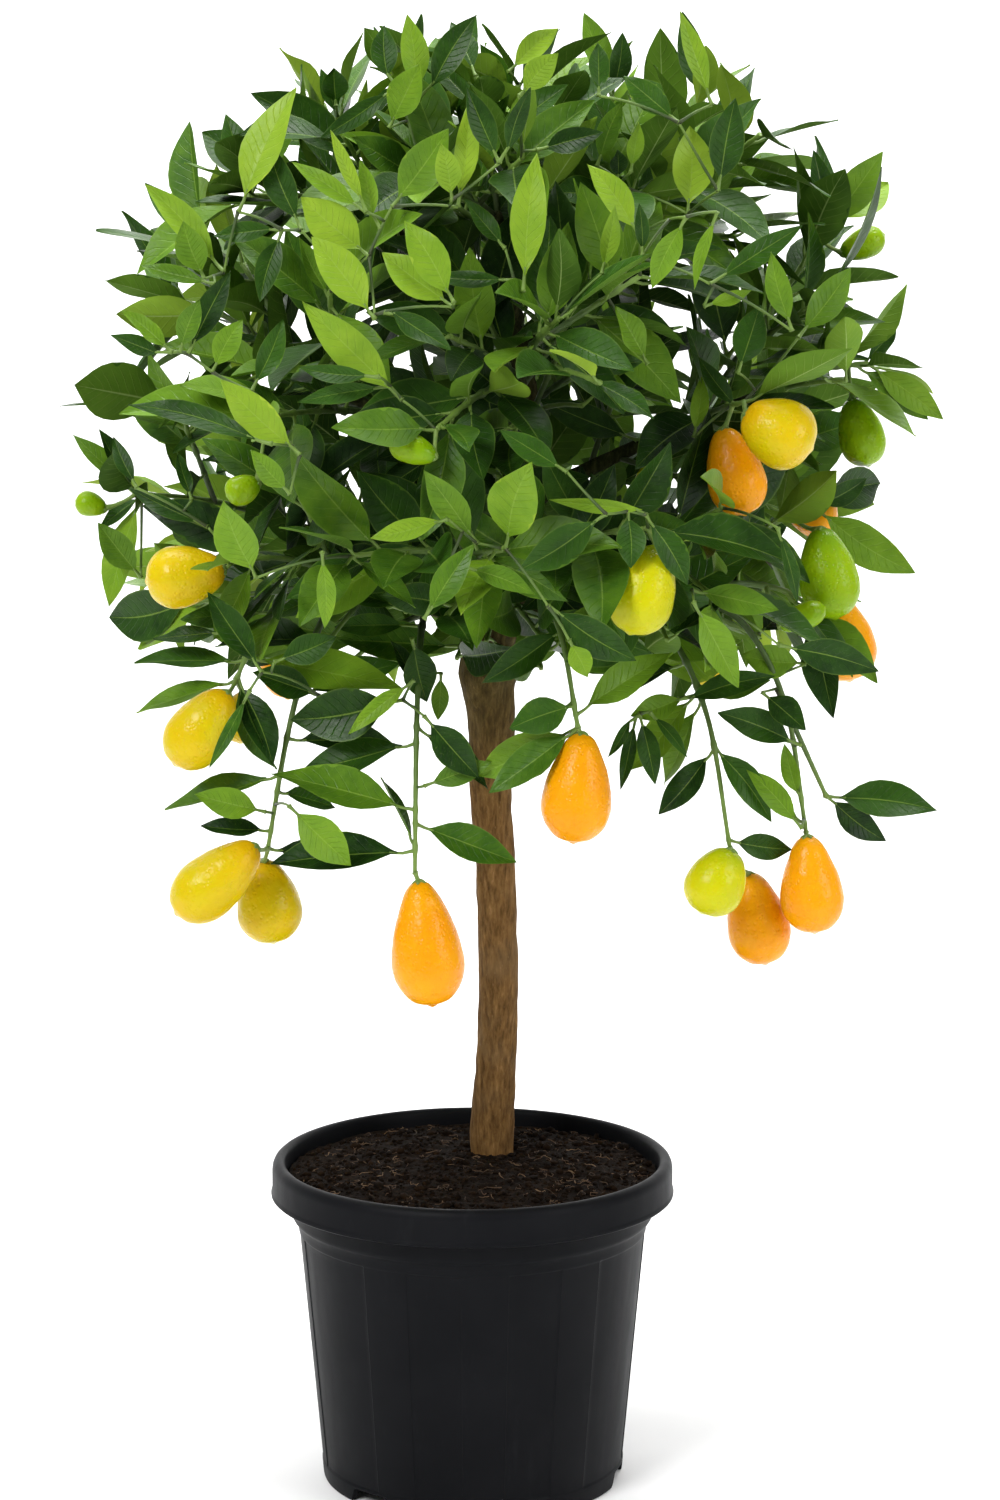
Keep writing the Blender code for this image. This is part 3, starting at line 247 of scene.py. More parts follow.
# Leaves set one by one where the outline or a gap shows them singly, under their spray's twig:
# (across and down of the base, across and down of the tip, tip's depth beyond the base, turn)
SINGLE_LEAVES = {
    ("spray_top_left", 0): ((392, 92, 376, 26, 0, 20), (408, 98, 409, 12, -6, 50)),
    ("spray_top_mid", 0): ((506, 86, 559, 28, 0, 10), (498, 100, 480, 44, 0, -30)),
    ("spray_top_mid", 1): ((440, 100, 477, 14, 6, 25),),
    ("spray_top_right", 0): ((602, 98, 624, 32, 0, 30), (590, 118, 572, 78, 0, 0)),
    ("spray_top_right", 1): ((714, 106, 684, 11, 0, 5), (690, 120, 634, 74, 6, 10)),
    ("spray_top_right", 2): ((732, 176, 742, 98, 0, 20), (744, 184, 778, 176, 0, 30)),
    ("spray_right_up", 0): ((828, 236, 883, 151, 0, 20), (830, 230, 815, 150, 0, 10)),
    ("spray_right_up", 1): ((826, 300, 852, 266, 0, 0),),
    ("spray_right", 0): (
        (862, 366, 898, 328, 0, 50), (870, 366, 944, 420, 0, 35), (858, 380, 930, 418, 8, 0),
    ),
    ("spray_right_mid", 0): ((812, 504, 917, 573, 0, 25), (806, 494, 868, 478, 10, 40)),
    ("spray_right_low", 0): ((788, 646, 878, 682, -20, 10), (796, 650, 832, 719, -10, 30)),
    ("spray_hang_right", 0): (
        (706, 752, 657, 813, -10, 10), (712, 744, 753, 833, -14, 0), (728, 840, 792, 868, 16, 20),
        (690, 690, 770, 680, -10, 30), (684, 696, 622, 772, 10, 0), (688, 706, 660, 786, 24, 10),
        (676, 664, 610, 690, 30, 0),
    ),
    ("spray_hang_far_right", 0): ((802, 826, 748, 771, -6, 10), (790, 742, 720, 710, -10, 15)),
    ("spray_hang_far_right", 1): ((826, 796, 938, 809, 0, 20), (822, 800, 887, 842, 6, 30)),
    ("spray_hang_middle", 0): (
        (576, 704, 511, 729, 0, 0), (580, 712, 671, 650, 0, 0), (576, 728, 487, 790, -10, 10),
    ),
    ("spray_hang_left_middle", 0): (
        (414, 742, 298, 768, 10, 10), (412, 812, 272, 770, -6, 0), (414, 850, 270, 859, 0, 15),
        (418, 726, 490, 788, 0, 0), (416, 824, 518, 861, 0, 10), (414, 846, 368, 768, 10, 60),
        (418, 690, 392, 640, 0, 20),
    ),
    ("spray_hang_left", 0): (
        (286, 776, 163, 806, 0, 15), (270, 832, 199, 824, 0, 0), (268, 846, 352, 862, 20, 0),
        (284, 790, 338, 806, 22, 0), (300, 742, 398, 744, 16, 0), (310, 700, 400, 660, 10, 0),
    ),
    ("spray_left_low", 0): (
        (238, 660, 134, 659, 0, 20), (236, 682, 135, 709, 0, 25), (262, 688, 272, 772, -14, 0),
        (288, 676, 402, 684, -20, 0),
    ),
    ("spray_left_front", 0): ((246, 570, 224, 500, -8, 0), (258, 600, 212, 640, 0, 0)),
    ("spray_far_left", 0): (
        (118, 492, 75, 432, 0, 25), (130, 494, 101, 428, 0, 20), (142, 510, 98, 528, 0, 0),
        (140, 500, 104, 606, 0, 30),
    ),
    ("spray_far_left", 1): ((210, 420, 114, 393, 0, 10),),
    ("spray_left_mid", 0): ((188, 312, 124, 310, 0, 10), (180, 296, 124, 209, 0, 20)),
    ("spray_left_mid", 1): ((214, 250, 146, 181, 0, 0),),
    ("spray_left_high", 0): ((240, 204, 294, 86, 0, 0), (246, 200, 226, 112, 10, 0)),
    ("spray_left_high", 1): ((338, 120, 322, 68, 0, 20), (344, 128, 398, 86, -10, 10)),
    ("spray_front_left", 0): ((300, 452, 220, 380, -10, 0),),
    ("spray_front_left", 1): ((310, 305, 392, 388, -14, 0), (336, 300, 300, 236, 0, 0)),
    ("spray_front_high", 1): ((520, 172, 526, 258, -12, 0),),
    ("spray_front_high_right", 1): ((690, 208, 686, 126, -6, 0),),
    ("spray_front_middle", 0): ((536, 332, 626, 412, -12, 0),),
    ("spray_front_low", 0): ((312, 520, 416, 606, -10, 0),),
}

# Fruits: spray or limb they hang from, stem end, tip, depth, width in mm, neck from 0 oval to 1 drawn out
FRUITS = {
    "fruit_green_small_right": ("spray_right_up", (841, 254), (885, 234), 0, 16.0, 0.2),
    "fruit_green_right": ("spray_right", (852, 398), (869, 467), 0, 24.0, 0.4),
    "fruit_yellow_right": ("spray_right_front", (744, 414), (813, 450), -136, 34.0, 0.2),
    "fruit_orange_right": ("spray_right_front", (723, 428), (746, 516), -108, 29.0, 0.5),
    "fruit_orange_right_hidden": ("spray_right_mid", (788, 510), (838, 516), 8, 26.0, 0.4),
    "fruit_green_right_low": ("spray_right_mid", (820, 528), (836, 620), -70, 30.0, 0.4),
    "fruit_green_small_low": ("spray_right_low", (779, 627), (826, 607), -92, 13.5, 0.2),
    "fruit_orange_right_low": ("spray_right_low", (836, 598), (850, 682), -36, 33.0, 0.4),
    "fruit_lime_middle": ("spray_front_low_right", (659, 546), (629, 635), -160, 31.5, 0.4),
    "fruit_lime_hidden": ("mid_right", (650, 464), (652, 502), -20, 18.0, 0.2),
    "fruit_orange_middle": ("spray_hang_middle", (582, 733), (573, 844), -135, 34.5, 0.7),
    "fruit_lime_right_hang": ("spray_hang_right", (732, 850), (701, 914), -112, 30.0, 0.2),
    "fruit_orange_right_hang": ("spray_hang_right", (748, 873), (766, 965), -64, 32.0, 0.5),
    "fruit_orange_far_hang": ("spray_hang_far_right", (807, 836), (815, 934), -80, 32.0, 0.7),
    "fruit_orange_left_middle": ("spray_hang_left_middle", (419, 881), (433, 1007), -122, 36.0, 0.8),
    "fruit_yellow_left_hang": ("spray_hang_left", (257, 846), (175, 915), -118, 31.0, 0.4),
    "fruit_yellow_left_hang_back": ("spray_hang_left", (263, 860), (274, 944), -82, 33.0, 0.4),
    "fruit_yellow_left_low": ("spray_left_low", (228, 692), (174, 766), -104, 30.5, 0.3),
    "fruit_yellow_left_low_back": ("spray_left_low", (246, 692), (240, 744), -62, 24.0, 0.4),
    "fruit_yellow_left": ("spray_left_front", (225, 570), (145, 582), -100, 31.0, 0.4),
    "fruit_green_small_far_left": ("spray_far_left", (106, 509), (75, 500), -16, 13.0, 0.2),
    "fruit_green_small_middle": ("spray_front_middle_left", (436, 457), (389, 441), -192, 14.5, 0.2),
    "fruit_green_small_left": ("spray_front_left", (259, 482), (226, 497), -136, 15.0, 0.2),
    "fruit_orange_back_left": ("spray_back_left", (290, 610), (288, 700), 150, 32.0, 0.6),
    "fruit_yellow_back_right": ("spray_back_right", (706, 610), (712, 690), 152, 31.0, 0.4),
}
FRUIT_SIDES = 7
FRUIT_ROWS = (
    (0.0, 0.30, 0.16), (0.20, 0.76, 0.50), (0.45, 0.99, 0.86),
    (0.70, 0.97, 1.00), (0.92, 0.46, 0.50), (1.0, 0.10, 0.10),
)

# Places, curves and frames


def at(across, down, depth):
    """The point that the front view shows there, depth millimetres behind the pot's axis."""
    side = (across - VIEW_MIDDLE[0]) / VIEW_REACH
    rise = (VIEW_MIDDLE[1] - down) / VIEW_REACH
    ahead = math.cos(VIEW_PITCH) + rise * math.sin(VIEW_PITCH)
    climb = rise * math.cos(VIEW_PITCH) - math.sin(VIEW_PITCH)
    distance = (depth * MM - VIEW_EYE.y) / ahead
    return VIEW_EYE + distance * Vector((side, ahead, climb))


def seen_from_front(point):
    """Where the front view shows a point, across and down."""
    away = point - VIEW_EYE
    ahead = away.y * math.cos(VIEW_PITCH) - away.z * math.sin(VIEW_PITCH)
    rise = away.y * math.sin(VIEW_PITCH) + away.z * math.cos(VIEW_PITCH)
    across = VIEW_MIDDLE[0] + VIEW_REACH * away.x / ahead
    return Vector((across, VIEW_MIDDLE[1] - VIEW_REACH * rise / ahead))


def along(path, share):
    """The point and the unit direction at this share of a path's steps."""
    place = min(max(share, 0.0), 1.0) * (len(path) - 1)
    step = min(int(place), len(path) - 2)
    direction = (path[step + 1] - path[step]).normalized()
    return path[step].lerp(path[step + 1], place - step), direction


def bent(start, towards, end, steps):
    """Points on the curve that leaves start towards one point and comes to end from it."""
    shares = [i / steps for i in range(steps + 1)]
    return [(1 - t) ** 2 * start + 2 * t * (1 - t) * towards + t * t * end for t in shares]


def across_of(direction):
    """A unit vector at right angles to a direction, level where it can be."""
    level = direction.cross(UP)
    if level.length < 0.05:
        level = direction.cross(TO_FRONT)
    return level.normalized()


def taper(first, last, count):
    """Numbers in even steps from the first to the last."""
    return [first + (last - first) * i / (count - 1) for i in range(count)]


# Shapes, each as a list of points and a list of faces


def tube(path, radii, sides):
    """A closed tube round a path, its rings turned as little as possible from one to the next."""
    points = []
    last = len(path) - 1
    directions = [(path[min(i + 1, last)] - path[max(i - 1, 0)]).normalized() for i in range(last + 1)]
    side = across_of(directions[0])
    for i, (centre, radius) in enumerate(zip(path, radii)):
        side = (side - directions[i] * side.dot(directions[i])).normalized()
        other = directions[i].cross(side)
        for k in range(sides):
            angle = math.tau * k / sides
            points.append(centre + radius * MM * (math.cos(angle) * side + math.sin(angle) * other))
    faces = ring_faces(len(path), sides)
    faces.append(tuple(reversed(range(sides))))
    faces.append(tuple(range(len(points) - sides, len(points))))
    return points, faces


def ring_faces(rings, sides):
    """Quads between rings of points, each with the same number of sides."""
    faces = []
    for i in range(rings - 1):
        for k in range(sides):
            a = i * sides + k
            b = i * sides + (k + 1) % sides
            faces.append((a, b, b + sides, a + sides))
    return faces


def leaf_frame(leaf, share):
    """A point on a leaf's midrib and the blade's normal there."""
    base, direction, normal, length = leaf["base"], leaf["direction"], leaf["normal"], leaf["length"] * MM
    drop = leaf["arch"] * length * share * share
    slope = 2.0 * leaf["arch"] * share
    return base + direction * length * share - normal * drop, (normal + direction * slope).normalized()


def leaf_shape(leaf, margin=0.0):
    """A folded blade on its petiole, thick at the midrib, thin at the edges and rooted in a point."""
    side = leaf["direction"].cross(leaf["normal"]).normalized()
    thick = (LEAF_THICKNESS / 2 + margin) * MM
    points = [leaf["base"] - leaf["direction"] * LEAF_ROOT_DEPTH * MM]
    for share, half in LEAF_ROWS:
        middle, normal = leaf_frame(leaf, share)
        spread = (max(half * leaf["width"], PETIOLE_HALF_WIDTH) + margin) * MM
        lift = normal * spread * math.sin(leaf["fold"]) if half else Vector()
        reach = side * spread * math.cos(leaf["fold"])
        points += [middle - reach + lift, middle + normal * thick]
        points += [middle + reach + lift, middle - normal * thick]
    tip, normal = leaf_frame(leaf, 1.0 + margin / leaf["length"])
    points.append(tip)
    faces = [(0, 1, 2), (0, 2, 3), (0, 3, 4), (0, 4, 1)]
    last = 4 * len(LEAF_ROWS) - 3
    for a in range(1, last, 4):
        b = a + 4
        for edge in (0, 2):
            upper = [(a + edge, a + 1, b + 1), (a + edge, b + 1, b + edge)]
            lower = [(a + edge, b + 3, a + 3), (a + edge, b + edge, b + 3)]
            faces += upper + lower if edge == 2 else [t[::-1] for t in upper + lower]
    faces += [(last + k, last + 4, last + (k + 1) % 4) for k in range(4)]
    return points, faces


def fruit_shape(fruit, margin=0.0):
    """The body of a fruit from its stem end to the nipple at its tip."""
    axis = fruit["tip"] - fruit["stem"]
    side = across_of(axis.normalized())
    other = axis.normalized().cross(side)
    points = []
    for share, oval, drawn in FRUIT_ROWS:
        swell = fruit["width"] / 2 / math.cos(math.pi / FRUIT_SIDES)
        radius = (swell * (oval + (drawn - oval) * fruit["neck"]) + margin) * MM
        for k in range(FRUIT_SIDES):
            angle = math.tau * k / FRUIT_SIDES
            offset = math.cos(angle) * side + math.sin(angle) * other
            points.append(fruit["stem"] + axis * share + radius * offset)
    faces = ring_faces(len(FRUIT_ROWS), FRUIT_SIDES)
    faces.append(tuple(reversed(range(FRUIT_SIDES))))
    faces.append(tuple(range(len(points) - FRUIT_SIDES, len(points))))
    return points, faces


def tree_of(shapes):
    """One search tree over several shapes."""
    points, faces = [], []
    for shape_points, shape_faces in shapes:
        start = len(points)
        points += shape_points
        faces += [tuple(start + i for i in face) for face in shape_faces]
    return BVHTree.FromPolygons(points, faces)


def meets(shape, trees):
    """Whether a shape cuts any of the searched ones."""
    own = tree_of([shape])
    return any(own.overlap(tree) for tree in trees)


# Growth: limbs, twigs, fruits and leaves find their places here, in a fixed order


def grow_wood():
    """Paths and radii of the trunk, the leader and each limb."""
    wood = {}
    for name, rows in (("trunk", TRUNK), ("leader", LEADER)):
        wood[name] = ([at(*row[:3]) for row in rows], [row[3] for row in rows])
    for name, (parent, share, towards, end) in LIMBS.items():
        start, _ = along(wood[parent][0], share)
        path = bent(start, at(*towards), at(*end), BEND_STEPS)
        wood[name] = (path, taper(LIMB_ROOT_RADIUS, LIMB_TIP_RADIUS, len(path)))
    return wood


def wood_sides(name):
    """How many sides the trunk, the leader or a limb has."""
    return {"trunk": TRUNK_SIDES, "leader": LEADER_SIDES}.get(name, LIMB_SIDES)


def twig_path(start, end, reach, rise, shift):
    """A twig's path by way of a point that reach, rise and shift set."""
    span = end - start
    towards = start + Vector((span.x * reach, span.y * reach, span.z * (1 - reach) + rise * MM)) + shift
    return bent(start, towards, end, BEND_STEPS)


def twig_shifts():
    """Small moves of a twig's bend, nearest first."""
    yield Vector()
    for size in TWIG_SHIFTS:
        for way in (UP, -UP, Vector((1, 0, 0)), Vector((-1, 0, 0)), TO_FRONT, -TO_FRONT):
            yield way * size * MM


def grow_twigs(wood, fruits):
    """Each spray's twigs, clear of the wood, of other sprays' twigs and of fruits."""
    wood_tree = tree_of([tube(path, radii, wood_sides(name)) for name, (path, radii) in wood.items()])
    fruit_trees = [tree_of([fruit_shape(fruit, FRUIT_ROOM)]) for fruit in fruits.values()]
    grown = {}
    trees = {}
    for spray, rows in SPRAYS.items():
        twigs = []
        for parent, share, end, reach, rise, leaves, length in rows:
            start, _ = along(wood[parent][0] if parent else twigs[0]["path"], share)
            others = list(trees.values()) + fruit_trees + [wood_tree]
            for shift in twig_shifts():
                path = twig_path(start, at(*end), reach, rise, shift)
                if parent:
                    path = off_the_wood(path, wood_tree)
                twig = {"path": path, "forked": not parent, "leaves": leaves, "length": length}
                tight = tube(path, [radius + TIGHT_ROOM for radius in radii_of(twig)], TWIG_SIDES)
                loose = tube(path[1:], [radius + LOOSE_ROOM for radius in radii_of(twig)[1:]], TWIG_SIDES)
                if not meets(tight, [wood_tree]) and not meets(loose, others):
                    break
            twigs.append(twig)
        trees[spray] = tree_of([tube(twig["path"], radii_of(twig), TWIG_SIDES) for twig in twigs])
        grown[spray] = twigs
    return grown, trees


def off_the_wood(path, wood_tree):
    """The path shortened at its start until the twig's end face stands just off the wood."""
    direction = (path[1] - path[0]).normalized()
    side = across_of(direction)
    other = direction.cross(side)
    rim = [(side * x + other * y) * TWIG_ROOT_RADIUS * MM for x, y in ((1, 0), (0, 1), (-1, 0), (0, -1))]
    for step in range(1, OFF_WOOD_STEPS):
        start = path[0] + direction * step * OFF_WOOD_STEP * MM
        gaps = []
        for offset in [Vector(), *rim]:
            place, normal, _, gap = wood_tree.find_nearest(start + offset)
            gaps.append(gap if (start + offset - place).dot(normal) > 0 else -gap)
        if min(gaps) >= JOINT_GAP * MM:
            break
    rest = [point for point in path[1:] if (point - start).dot(direction) > 3 * MM]
    return [start, *rest]


def radii_of(twig):
    """A twig's radius in millimetres at each point of its path."""
    root = TWIG_ROOT_RADIUS * (FORKED_TWIG_SHARE if twig["forked"] else 1.0)
    return taper(root, TWIG_TIP_RADIUS, len(twig["path"]))


def place_fruits():
    """Each fruit's stem end, tip, width and neck, and what carries it."""
    fruits = {}
    for name, (carrier, stem, tip, depth, width, neck) in FRUITS.items():
        fruits[name] = {
            "from": carrier,
            "stem": at(*stem, depth),
            "tip": at(*tip, depth),
            "width": width,
            "neck": neck,
        }
    return fruits


def nearest_on(path, point):
    """The share of a path's steps that is nearest to a point."""
    shares = [i / PATH_SHARES for i in range(PATH_SHARES + 1)]
    return min(shares, key=lambda share: (along(path, share)[0] - point).length)


def join_stalks(fruits, twigs, wood):
    """Runs each fruit's stalk to just short of the nearest twig of its spray, or of its limb."""
    for fruit in fruits.values():
        if fruit["from"] in wood:
            path, radii = wood[fruit["from"]]
            flat = math.cos(math.pi / LIMB_SIDES)
            carriers = [(path, [radius * flat for radius in radii])]
        else:
            carriers = [(twig["path"], radii_of(twig)) for twig in twigs[fruit["from"]]]
        near = []
        for path, radii in carriers:
            share = nearest_on(path, fruit["stem"])
            point, _ = along(path, share)
            radius = radii[int(share * (len(path) - 1))]
            near.append(((point - fruit["stem"]).length, point, radius))
        _, point, radius = min(near, key=lambda found: found[0])
        away = (fruit["stem"] - point).normalized()
        fruit["joint"] = point + away * (radius + JOINT_GAP) * MM


def stalk_path(fruit):
    """From the joint at the twig to a little way inside the fruit."""
    axis = (fruit["tip"] - fruit["stem"]).normalized()
    return [fruit["joint"], fruit["stem"] + axis * STALK_DEPTH * MM]


def facing(direction, outward, turn):
    """The normal of a blade that runs this way and faces up and out, turned about its length."""
    wish = UP * 0.75 + outward * 0.85
    normal = wish - direction * wish.dot(direction)
    if normal.length < 0.05:
        normal = across_of(direction)
    return Quaternion(direction, turn) @ normal.normalized()


def leaf_of(base, direction, outward, length, draw, turn=0.0, width_share=LEAF_WIDTH_SHARE):
    """A leaf of this length with its width, arch, fold and shade drawn."""
    return {
        "base": base,
        "direction": direction,
        "normal": facing(direction, outward, turn),
        "length": length,
        "width": length * width_share * draw.uniform(0.92, 1.10),
        "arch": draw.uniform(0.04, 0.20),
        "fold": math.radians(draw.uniform(8, 26)),
        "shade": draw.random(),
    }


def single_leaf(twig, row, draw):
    """A leaf between two places in the front view, from the point of the twig shown nearest."""
    base_across, base_down, tip_across, tip_down, further, turn = row
    seen = Vector((base_across, base_down))
    shares = [i / PATH_SHARES for i in range(PATH_SHARES + 1)]
    share = min(shares, key=lambda s: (seen_from_front(along(twig["path"], s)[0]) - seen).length)
    base, _ = along(twig["path"], share)
    tip = at(tip_across, tip_down, base.y / MM + further)
    direction = (tip - base).normalized()
    length = (tip - base).length / MM
    leaf = leaf_of(base, direction, TO_FRONT, length, draw, math.radians(turn), 0.37)
    leaf["arch"] = 0.05
    return leaf


def outside_crown(point):
    """Whether a point lies beyond the rounded box that the crown fills."""
    away = point - CROWN_MIDDLE
    shares = [abs(a / half) ** CROWN_ROUNDNESS for a, half in zip(away, CROWN_HALF)]
    return away.z > -0.1 and sum(shares) > 1.0


def rule_leaf(twig, share, clock, draw):
    """A leaf that the twig's spiral of buds gives at this share of its length."""
    base, run = along(twig["path"], share)
    side = across_of(run)
    radial = Quaternion(run, clock) @ side
    outward = (base - CROWN_MIDDLE).normalized()
    lean = 0.35 + 0.75 * share * share
    direction = (run * lean + radial * 0.9 + outward * 0.25 + UP * 0.10).normalized()
    length = twig["length"] * draw.uniform(0.82, 1.22)
    while length > SHORTEST_LEAF and outside_crown(base + direction * length * MM):
        length -= 3.0
    return leaf_of(base + radial * 0.4 * MM, direction, outward, length, draw, draw.uniform(-0.5, 0.5))


def leaf_tries(leaf):
    """The leaf as placed, then turned and tipped clear by growing amounts, then shorter."""
    yield leaf
    side = leaf["direction"].cross(leaf["normal"]).normalized()
    for size in LEAF_SWINGS:
        for axis in (leaf["normal"], side):
            for way in (1, -1):
                swing = Quaternion(axis, math.radians(way * size))
                yield {**leaf, "direction": swing @ leaf["direction"], "normal": swing @ leaf["normal"]}
    for size in SHORT_LEAF_SWINGS:
        for way in (1, -1):
            swing = Quaternion(leaf["normal"], math.radians(way * size))
            yield {
                **leaf,
                "direction": swing @ leaf["direction"],
                "length": leaf["length"] * SHORT_LEAF_SHARE,
                "width": leaf["width"] * SHORT_LEAF_SHARE,
            }


def grow_leaves(twigs, twig_trees, wood, fruits):
    """Leaves of every spray, single ones first, then by rule, each clear of all other nodes."""
    bark = []
    for name, (path, radii) in wood.items():
        bark.append(tube(path, [radius + WOOD_ROOM for radius in radii], wood_sides(name)))
    fixed = [tree_of(bark)]
    for fruit in fruits.values():
        fixed.append(tree_of([fruit_shape(fruit), tube(stalk_path(fruit), STALK_ROOM, STALK_SIDES)]))
    jobs = []
    for order in (0, 1):
        for spray, rows in twigs.items():
            draw = random.Random(f"{SEED} {spray} {order}")
            for k, twig in enumerate(rows):
                if order == 0:
                    for row in SINGLE_LEAVES.get((spray, k), ()):
                        jobs.append((spray, single_leaf(twig, row, draw)))
                elif twig["leaves"]:
                    clock = draw.uniform(0, math.tau)
                    for i in range(twig["leaves"]):
                        share = 1.0 - 0.68 * (i / max(twig["leaves"] - 1, 1)) ** 0.9
                        jobs.append((spray, rule_leaf(twig, share, clock + i * GOLDEN_TURN, draw)))
    leaves = {spray: [] for spray in twigs}
    leaf_trees = {spray: [] for spray in twigs}
    for spray, leaf in jobs:
        others = fixed + [tree for name, tree in twig_trees.items() if name != spray]
        for name, trees in leaf_trees.items():
            if name != spray:
                others += trees
        tries = [(tried, leaf_shape(tried, LEAF_TRY_MARGIN)) for tried in leaf_tries(leaf)]
        clear = [tried for tried, outer in tries if not meets(outer, others)]
        apart = [tried for tried in clear if not meets(leaf_shape(tried, WOOD_ROOM), leaf_trees[spray])]
        chosen = (apart or clear or [None])[0]
        if chosen is None:
            continue
        leaves[spray].append(chosen)
        leaf_trees[spray].append(tree_of([leaf_shape(chosen)]))
    return leaves


# Fine leaves, in millimetres unless named otherwise. Rows of points run along the blade, with the
# half-width at each as a share of the widest, and columns run across it.
PETIOLE_SHARE = 0.12
LEAF_ALONG = (0.0, 0.04, 0.10, 0.18, 0.28, 0.39, 0.50, 0.61, 0.71, 0.80, 0.88, 0.94, 0.98, 1.0)
LEAF_HALVES = (0.03, 0.12, 0.32, 0.59, 0.82, 0.94, 0.94, 0.86, 0.71, 0.52, 0.32, 0.17, 0.06, 0.0)
LEAF_ACROSS = (-1.0, -0.76, -0.46, -0.16, 0.0, 0.16, 0.46, 0.76, 1.0)
LEAF_HALF_THICKNESS = 0.2
LEAF_MIDDLE_SHARE = 0.55
MIDRIB_GROOVE = 0.22
MIDRIB_RIDGE = 0.55
MIDRIB_HALF_WIDTH = 0.8
LEAF_BOW = 0.04
LEAF_TWIST = 0.45
LEAF_FOLD_CHANGE = (0.7, 1.5)
WAVE_TURNS = (0.9, 1.9)
WAVE_HEIGHTS = (0.3, 1.0)

# Fine leaf stalk: share of its length and radius, and how far it runs into the blade
PETIOLE_ROWS = ((0.0, 1.6), (0.12, 1.1), (0.5, 0.85), (0.9, 0.8), (1.0, 0.6))
PETIOLE_SIDES = 5
PETIOLE_OVERLAP = 0.06
PETIOLE_SAG = 0.3

# Fine twigs, in millimetres: how much thicker than planned, and the swelling at each bud
TWIG_SWELL = 1.25
TWIG_STEP = 2.2
TWIG_FINE_SIDES = 7
TWIG_UNEVEN = 0.05
BUD_SWELL = 0.32
BUD_REACH = 1.8

# Leaf tone, with painted shade and light in it: how far from the crown's middle a leaf has to stand to be
# out of the painted shade inside the crown and as light as its shade says, the heights between which
# painted light lightens it, and those between which hanging leaves darken in painted shade under the crown,
# in metres
INNER_SHADE_REACH = (0.45, 0.85)
PAINTED_LIGHT_HEIGHTS = (0.45, 0.80)
HANGING_SHADE_HEIGHTS = (0.43, 0.37)
